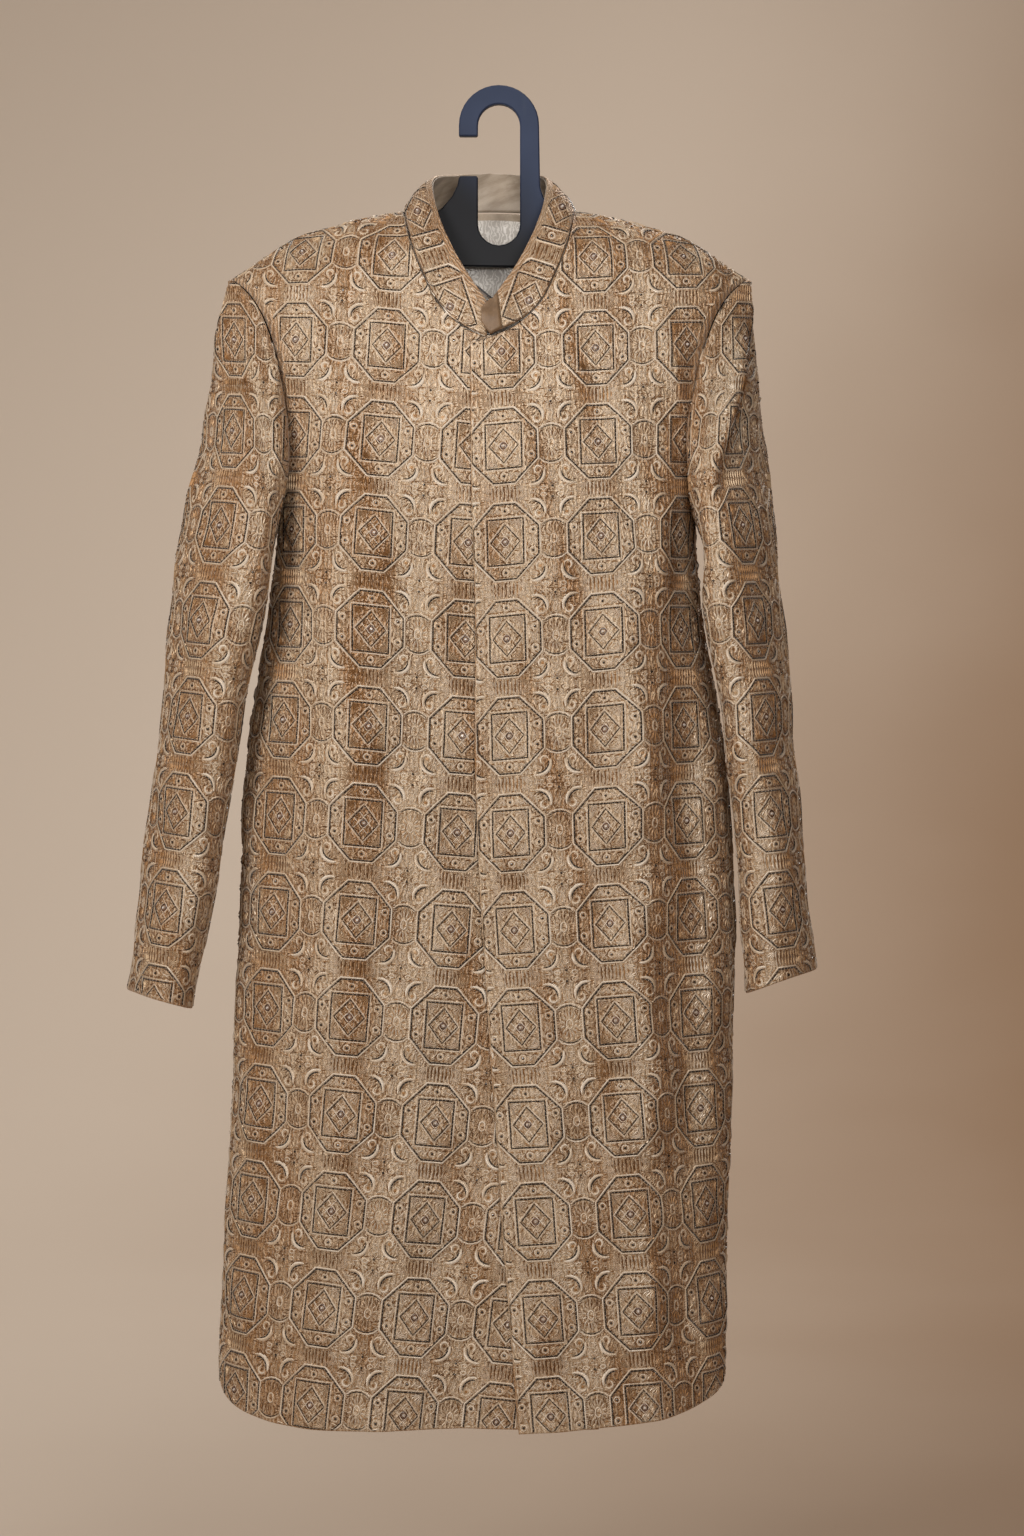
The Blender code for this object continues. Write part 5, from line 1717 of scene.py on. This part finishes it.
def beaded_thread():
    """A line of small gunmetal beads, with painted glints of pale grey on about one bead in two as noise
    allows, and painted shade in the gaps between beads.
    """
    made = Tree("beaded_line", Metallic=0.35, Specular_IOR_Level=0.7)
    run = made.split(made.flat_place())[0]
    bead = made.math("SINE", made.times(run, 2 * math.pi / 1.7))
    place = made.place()
    chance = made.noise(place, 420.0, detail=1.0)
    # painted glint: about one bead in two, varied by noise, turns pale grey
    painted_glint = made.math("SINE", made.times(run, math.pi / 1.7))
    painted_glint = made.plus(painted_glint, made.times(made.minus(chance, 0.5), 3.0))
    shade = made.mix(made.ramp(painted_glint, 0.35, 0.75), linear(42, 35, 32), linear(150, 138, 128))
    # painted shade in the gaps between the beads
    made.colour(made.mix(made.ramp(bead, -1.0, -0.35), linear(34, 26, 20), shade))
    made.rough(made.plus(made.times(chance, 0.3), 0.22))
    made.bump(bead, 0.0006, 0.8)
    return made.material


def silk_stitches():
    """Silk thread, from ochre to pale by each stitch's own tone, which holds painted shade beside the
    cords.
    """
    made = Tree("silk_stitches", Metallic=0.4, Sheen_Weight=0.15, Sheen_Roughness=0.35)
    tone = made.node("Attribute", attribute_name="tone").outputs["Fac"]
    place = made.place()
    broad = made.noise(place, 9.0, detail=2.0, stretch=(1.6, 1, 0.5))
    fine = made.noise(place, 700.0, detail=2.0)
    held = made.plus(tone, made.times(made.minus(broad, 0.5), 0.6))
    # painted shade: darker where the stitch faces away from the eye
    held = made.minus(held, made.times(made.painted_facing_shade(0.015, 0.24), 0.45))
    # painted shade: darker where a fold turns the stitch away from the key light
    held = made.minus(held, made.times(made.turned_over(), 2.0))
    dark = made.mix(made.ramp(held, 0.0, 0.45), DEEP, OCHRE)
    dark = made.mix(made.ramp(held, 0.3, 0.7), dark, SAND)
    made.colour(made.mix(made.ramp(held, 0.65, 1.05), dark, PALE))
    made.rough(made.plus(made.times(fine, 0.3), 0.35))
    made.bump(fine, 0.0003, 0.5)
    return made.material


def plain_bead(name, one, two, metallic, roughness):
    """Beads and stones, each a little unlike the next."""
    made = Tree(name, Metallic=metallic, Specular_IOR_Level=0.8, Coat_Weight=0.3)
    place = made.place()
    chance = made.noise(place, 300.0, detail=1.0)
    made.colour(made.mix(made.ramp(chance, 0.35, 0.65), one, two))
    made.rough(made.plus(made.times(chance, 0.2), roughness))
    return made.material


def slate_plastic():
    """Moulded slate-grey plastic with a fine grain and faint scuffs, and painted light: lighter and bluer
    towards its top and +X side, darker lower down.
    """
    made = Tree("slate_plastic_moulded", Specular_IOR_Level=0.18)
    place = made.place()
    grain = made.noise(place, 1800.0, detail=2.0)
    cloud = made.noise(place, 14.0, detail=3.0)
    scuff = made.noise(place, 60.0, detail=4.0, rough=0.7, stretch=(1, 1, 0.15))
    # painted light: low is the shaded lower body, high the lit top and +X side
    low = made.mix(made.ramp(cloud, 0.3, 0.7), linear(14, 16, 21), linear(20, 22, 28))
    high = made.mix(made.ramp(cloud, 0.3, 0.7), linear(45, 56, 80), linear(54, 65, 91))
    axes = made.split(place)
    painted_light = made.plus(axes[2], made.times(axes[0], 0.9))
    base = made.mix(made.ramp(painted_light, -0.125, -0.02), low, high)
    made.colour(made.mix(made.ramp(scuff, 0.62, 0.85), base, linear(60, 70, 90)))
    made.rough(made.plus(made.times(cloud, 0.16), 0.40))
    made.bump(grain, 0.0001, 0.35)
    return made.material


def plain_wall(name, light, dark):
    """The room's paint, in shade towards the right and the floor."""
    made = Tree(name, Specular_IOR_Level=0.2)
    place = made.place()
    cloud = made.noise(place, 0.6, detail=3.0)
    axes = made.split(place)
    aside = made.times(axes[0], 0.62)
    shade = made.minus(aside, made.times(axes[2], 0.30))
    shade = made.plus(shade, made.times(cloud, 0.5))
    made.colour(made.mix(made.ramp(shade, -0.1, 1.7), light, dark))
    made.rough(made.plus(made.times(cloud, 0.1), 0.85))
    return made.material


# ---------------------------------------------------------------- pieces
def stand_for(piece, node):
    """A sheet rides on the coat and stands for its solid."""
    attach(piece, "root")
    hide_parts(node)


def clothe(panel, charts, chart, cell, materials, threads, free):
    """A panel's cloth, and its embroidery in groups, as the charts lay it."""
    cloth = wall_object("coat_" + panel, chart, CLOTH, materials, free)
    pieces = []
    for group, kinds in GROUPS:
        parts = []
        for index, kind in enumerate(kinds):
            for laid in charts:
                laid_parts = lay(laid, kind, cell)
                parts.append((*laid_parts, np.full(len(laid_parts[1]), index)))
        shift = np.cumsum([0] + [len(part[0]) for part in parts[:-1]])
        values = [np.concatenate([part[k] for part in parts]) for k in (0, 2, 3, 4, 5, 6)]
        points, along, tone, lie, turn, slots = values
        faces = np.concatenate([part[1] + move for part, move in zip(parts, shift)])
        piece = mesh_object(
            f"{group}_{panel}", points, faces, [threads[kind] for kind in kinds],
            slots, along, tone, lie, turn, smooth_faces=group == "cords",
        )
        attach(piece, "root")
        pieces.append(piece)
    stand_for(cloth, panel)
    return cloth, pieces


# ---------------------------------------------------------------- the coat
def threads_of(found):
    """The material of each kind of thread or bead."""
    dark = plain_bead("dark_bead", linear(40, 33, 29), linear(70, 60, 54), 0.5, 0.15)
    return {
        "pale": cord_thread(),
        "dark": beaded_thread(),
        "bronze": plain_bead("bronze_ring", linear(66, 42, 30), linear(98, 64, 46), 0.3, 0.3),
        "stitch": found,
        "disc": found,
        "bead": dark,
        "stone": plain_bead("crystal_stone", linear(172, 158, 148), linear(218, 210, 204), 0.0, 0.22),
    }


def collar_lining(chart, satin):
    """The collar's satin lining."""
    inner = chart.points - chart.normals * (CLOTH + SEAM_GAP)
    run = lengths(inner, 1)
    rise = lengths(inner, 0)
    share = rise / rise[-1]
    middle = np.argmin(np.abs(chart.share))
    past = (run - run[:, middle, None])[len(run) // 2]
    high, length = LINING_PULL
    pull = high * np.sin(past / length + 2.2 * np.sin(past / 0.019)) * np.sin(np.pi * share) ** 0.7
    inner = inner - chart.normals * (np.abs(pull) + 0.00005)[..., None]
    columns = slice(1, -COLLAR_END_COLUMNS - 2)
    lining = Chart(inner[:, columns], chart.normals[:, columns], np.stack([run, rise], axis=-1)[:, columns])
    wall = wall_object("coat_collar_lining", lining, LINING, [satin, satin], free=("foot",))
    stand_for(wall, "collar_lining")


def collar_tab(chart, satin):
    """The satin tab folded over the collar's over end."""
    rows, count = chart.points.shape[:2]
    share = np.linspace(TAB_FOOT, TAB_TOP, rows)
    start = np.interp(share, chart.share, np.arange(count))
    j = start[:, None] + (count - 1 - start[:, None]) * np.linspace(0, 1, TAB_COLUMNS)
    i = np.broadcast_to(np.arange(rows, dtype=float)[:, None], j.shape)
    over = between(chart.points + chart.normals * (LINING + SEAM_GAP), i, j)
    normals = unit(between(chart.normals, i, j))
    high, length = TAB_WAVE
    wave = high * np.sin(lengths(over, 0) / length + 2.0 * j) * np.sin(np.pi * share)[:, None]
    over = over + normals * wave[..., None]
    flat = np.stack([lengths(over, 1), lengths(over, 0)], axis=-1)
    tab_chart = Chart(over, normals, flat)
    ends = ("foot", "first", "last")
    piece = wall_object("coat_collar_tab", tab_chart, LINING, [satin, satin], free=ends)
    stand_for(piece, "collar_tab")


def back_lining_chart():
    """The silvery lining inside the back's neck."""
    columns, rows = FINE_LINING
    across = np.linspace(-1, 1, columns + 1)[None, :]
    down = np.linspace(0, 1, rows + 1)[:, None]
    half = YOKE_HALF_TOP + (YOKE_HALF - YOKE_HALF_TOP) * ramp(0, YOKE_WIDE_AT, down)
    x = COAT_CENTRE + across * half
    rise = BACK_NECK_RISE * (1 - (np.abs(x - COAT_CENTRE) / NECK_OUT) ** 2)
    neck = NECK_HEIGHT + rise - YOKE_BELOW_NECK
    height = neck * (1 - down) + YOKE_FOOT * down
    angle = angle_at(x, height)
    points = body_point("back", angle, height)
    normals = body_normal("back", angle, height)
    loose = YOKE_WAVE * (1 + np.sin(x / 0.013 + 1.0) * np.sin(height / 0.030))
    inner = points - normals * (CLOTH + LINING_SLACK + loose)[..., None]
    flat = np.stack([lengths(inner, 1) - half, lengths(inner, 0)], axis=-1)
    return Chart(inner, normals, flat)


def build_coat():
    """All the panels with their embroidery, and the linings of the neck and collar."""
    outer = brocade()
    wrong = woven("coat_lining_cloth", linear(170, 152, 132), linear(196, 180, 160), 0.5, 0.3)
    satin = woven("beige_satin", linear(152, 136, 118), linear(182, 167, 150), 0.42, 0.4)
    brown = woven("brown_satin", linear(98, 75, 52), linear(126, 101, 76), 0.45, 0.25)
    threads = threads_of(silk_stitches())
    cell = make_cell()
    charts = {
        "front_right": front_chart("front_right", -1),
        "front_left": front_chart("front_left", 1),
        "back": back_chart(),
        "sleeve_right": sleeve_chart("sleeve_right", RIGHT_SLEEVE, -1),
        "sleeve_left": sleeve_chart("sleeve_left", LEFT_SLEEVE, 1),
    }
    for panel, chart in charts.items():
        free = ("foot", "first") if panel.startswith("front") else ("foot",)
        cloth, pieces = clothe(panel, [chart], chart, cell, [outer, wrong], threads, free)
    band = collar_chart()
    halves = [collar_half(band, hand) for hand in (-1, 1)]
    free = ("foot", "first", "last")
    cloth, pieces = clothe("collar", halves, band, cell, [outer, wrong], threads, free)
    collar_lining(band, satin)
    collar_tab(band, brown)
    chart = back_lining_chart()
    silver = silver_brocade()
    yoke = wall_object("coat_back_lining", chart, LINING, [silver, silver], free=("foot",))
    stand_for(yoke, "back_lining")


def dress_hanger():
    """The hanger keeps its own solid, in a better plastic."""
    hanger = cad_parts["hanger"]
    plastic = slate_plastic()
    for slot in hanger.material_slots:
        slot.material = plastic


# ---------------------------------------------------------------- camera, lights and room
CAMERA = (0.01175, -3.0, -0.5994)
FLOOR = -1.50
ROOM = 6.6                   # distance from the coat to the room's wall
COVE = 3.8                   # radius of the curve between the floor and the wall
ROOM_TOP = 5.5
WALL_COLOURS = (linear(203, 189, 174), linear(128, 99, 72))


def put_camera():
    """The photo's own view, level and from straight in front."""
    data = bpy.data.cameras.new("camera")
    data.sensor_fit = "VERTICAL"
    data.sensor_height = 36
    data.lens = 77.8
    data.clip_start = 0.05
    data.clip_end = 40
    camera = bpy.data.objects.new("camera", data)
    camera.location = CAMERA
    camera.rotation_euler = (math.radians(90), 0, 0)
    bpy.context.scene.collection.objects.link(camera)
    bpy.context.scene.camera = camera


def put_lamp(data, place, aim, power, colour):
    """A lamp at a place, aimed at another, that the camera doesn't see."""
    data.energy = power
    data.color = colour
    lamp = bpy.data.objects.new(data.name, data)
    lamp.location = place
    lamp.rotation_euler = (Vector(aim) - Vector(place)).to_track_quat("-Z", "Y").to_euler()
    lamp.visible_camera = False
    bpy.context.scene.collection.objects.link(lamp)


def put_light(name, place, aim, size, power, colour):
    """A soft box of the size given."""
    data = bpy.data.lights.new(name, "AREA")
    data.shape = "RECTANGLE"
    data.size, data.size_y = size
    put_lamp(data, place, aim, power, colour)


def put_spot(name, place, aim, degrees, power, colour):
    """A lamp with a narrow soft beam."""
    data = bpy.data.lights.new(name, "SPOT")
    data.spot_size = math.radians(degrees)
    data.spot_blend = 1.0
    data.shadow_soft_size = 0.12
    put_lamp(data, place, aim, power, colour)


def put_room():
    """A round room whose floor curves up into its wall."""
    profile = [(0.0002, FLOOR), (ROOM - COVE, FLOOR)]
    for angle in np.radians(np.linspace(-90, 0, 25)[1:]):
        profile.append((ROOM - COVE + COVE * math.cos(angle), FLOOR + COVE + COVE * math.sin(angle)))
    profile.append((ROOM, ROOM_TOP))
    turns = np.radians(np.linspace(0, 360, 96, endpoint=False))
    points = np.array([(r * math.cos(t), r * math.sin(t), z) for r, z in profile for t in turns])
    count = len(turns)
    faces = []
    for ring in range(len(profile) - 1):
        for k in range(count):
            n = (k + 1) % count
            low, high = ring * count, (ring + 1) * count
            faces.append((low + k, low + n, high + n, high + k))
    room = mesh_object("room", points, np.array(faces)[:, ::-1], [plain_wall("room_paint", *WALL_COLOURS)])


def put_world():
    """A weak warm light from all round."""
    world = bpy.data.worlds.new("world")
    world.use_nodes = True
    ground = world.node_tree.nodes["Background"]
    ground.inputs[0].default_value = (1.0, 0.96, 0.91, 1)
    ground.inputs[1].default_value = 0.45
    bpy.context.scene.world = world


build_coat()
dress_hanger()
put_camera()
put_light("key", (-1.25, -1.85, 0.80), (0, 0, -0.22), (0.75, 0.75), 37, (1.0, 0.97, 0.93))
put_light("front", (0.45, -2.3, -0.05), (0.05, 0, -0.2), (0.7, 0.7), 20, (1.0, 0.96, 0.91))
put_spot("neck", (0.0, -2.8, -0.5), (-0.008, 0, -0.215), 4.8, 100, (1.0, 0.96, 0.93))
put_light("back", (1.0, 3.0, 2.6), (0, 3.5, -0.6), (3.0, 2.0), 118, (1.0, 0.96, 0.92))
put_room()
put_world()
bpy.context.scene.view_settings.view_transform = "Standard"
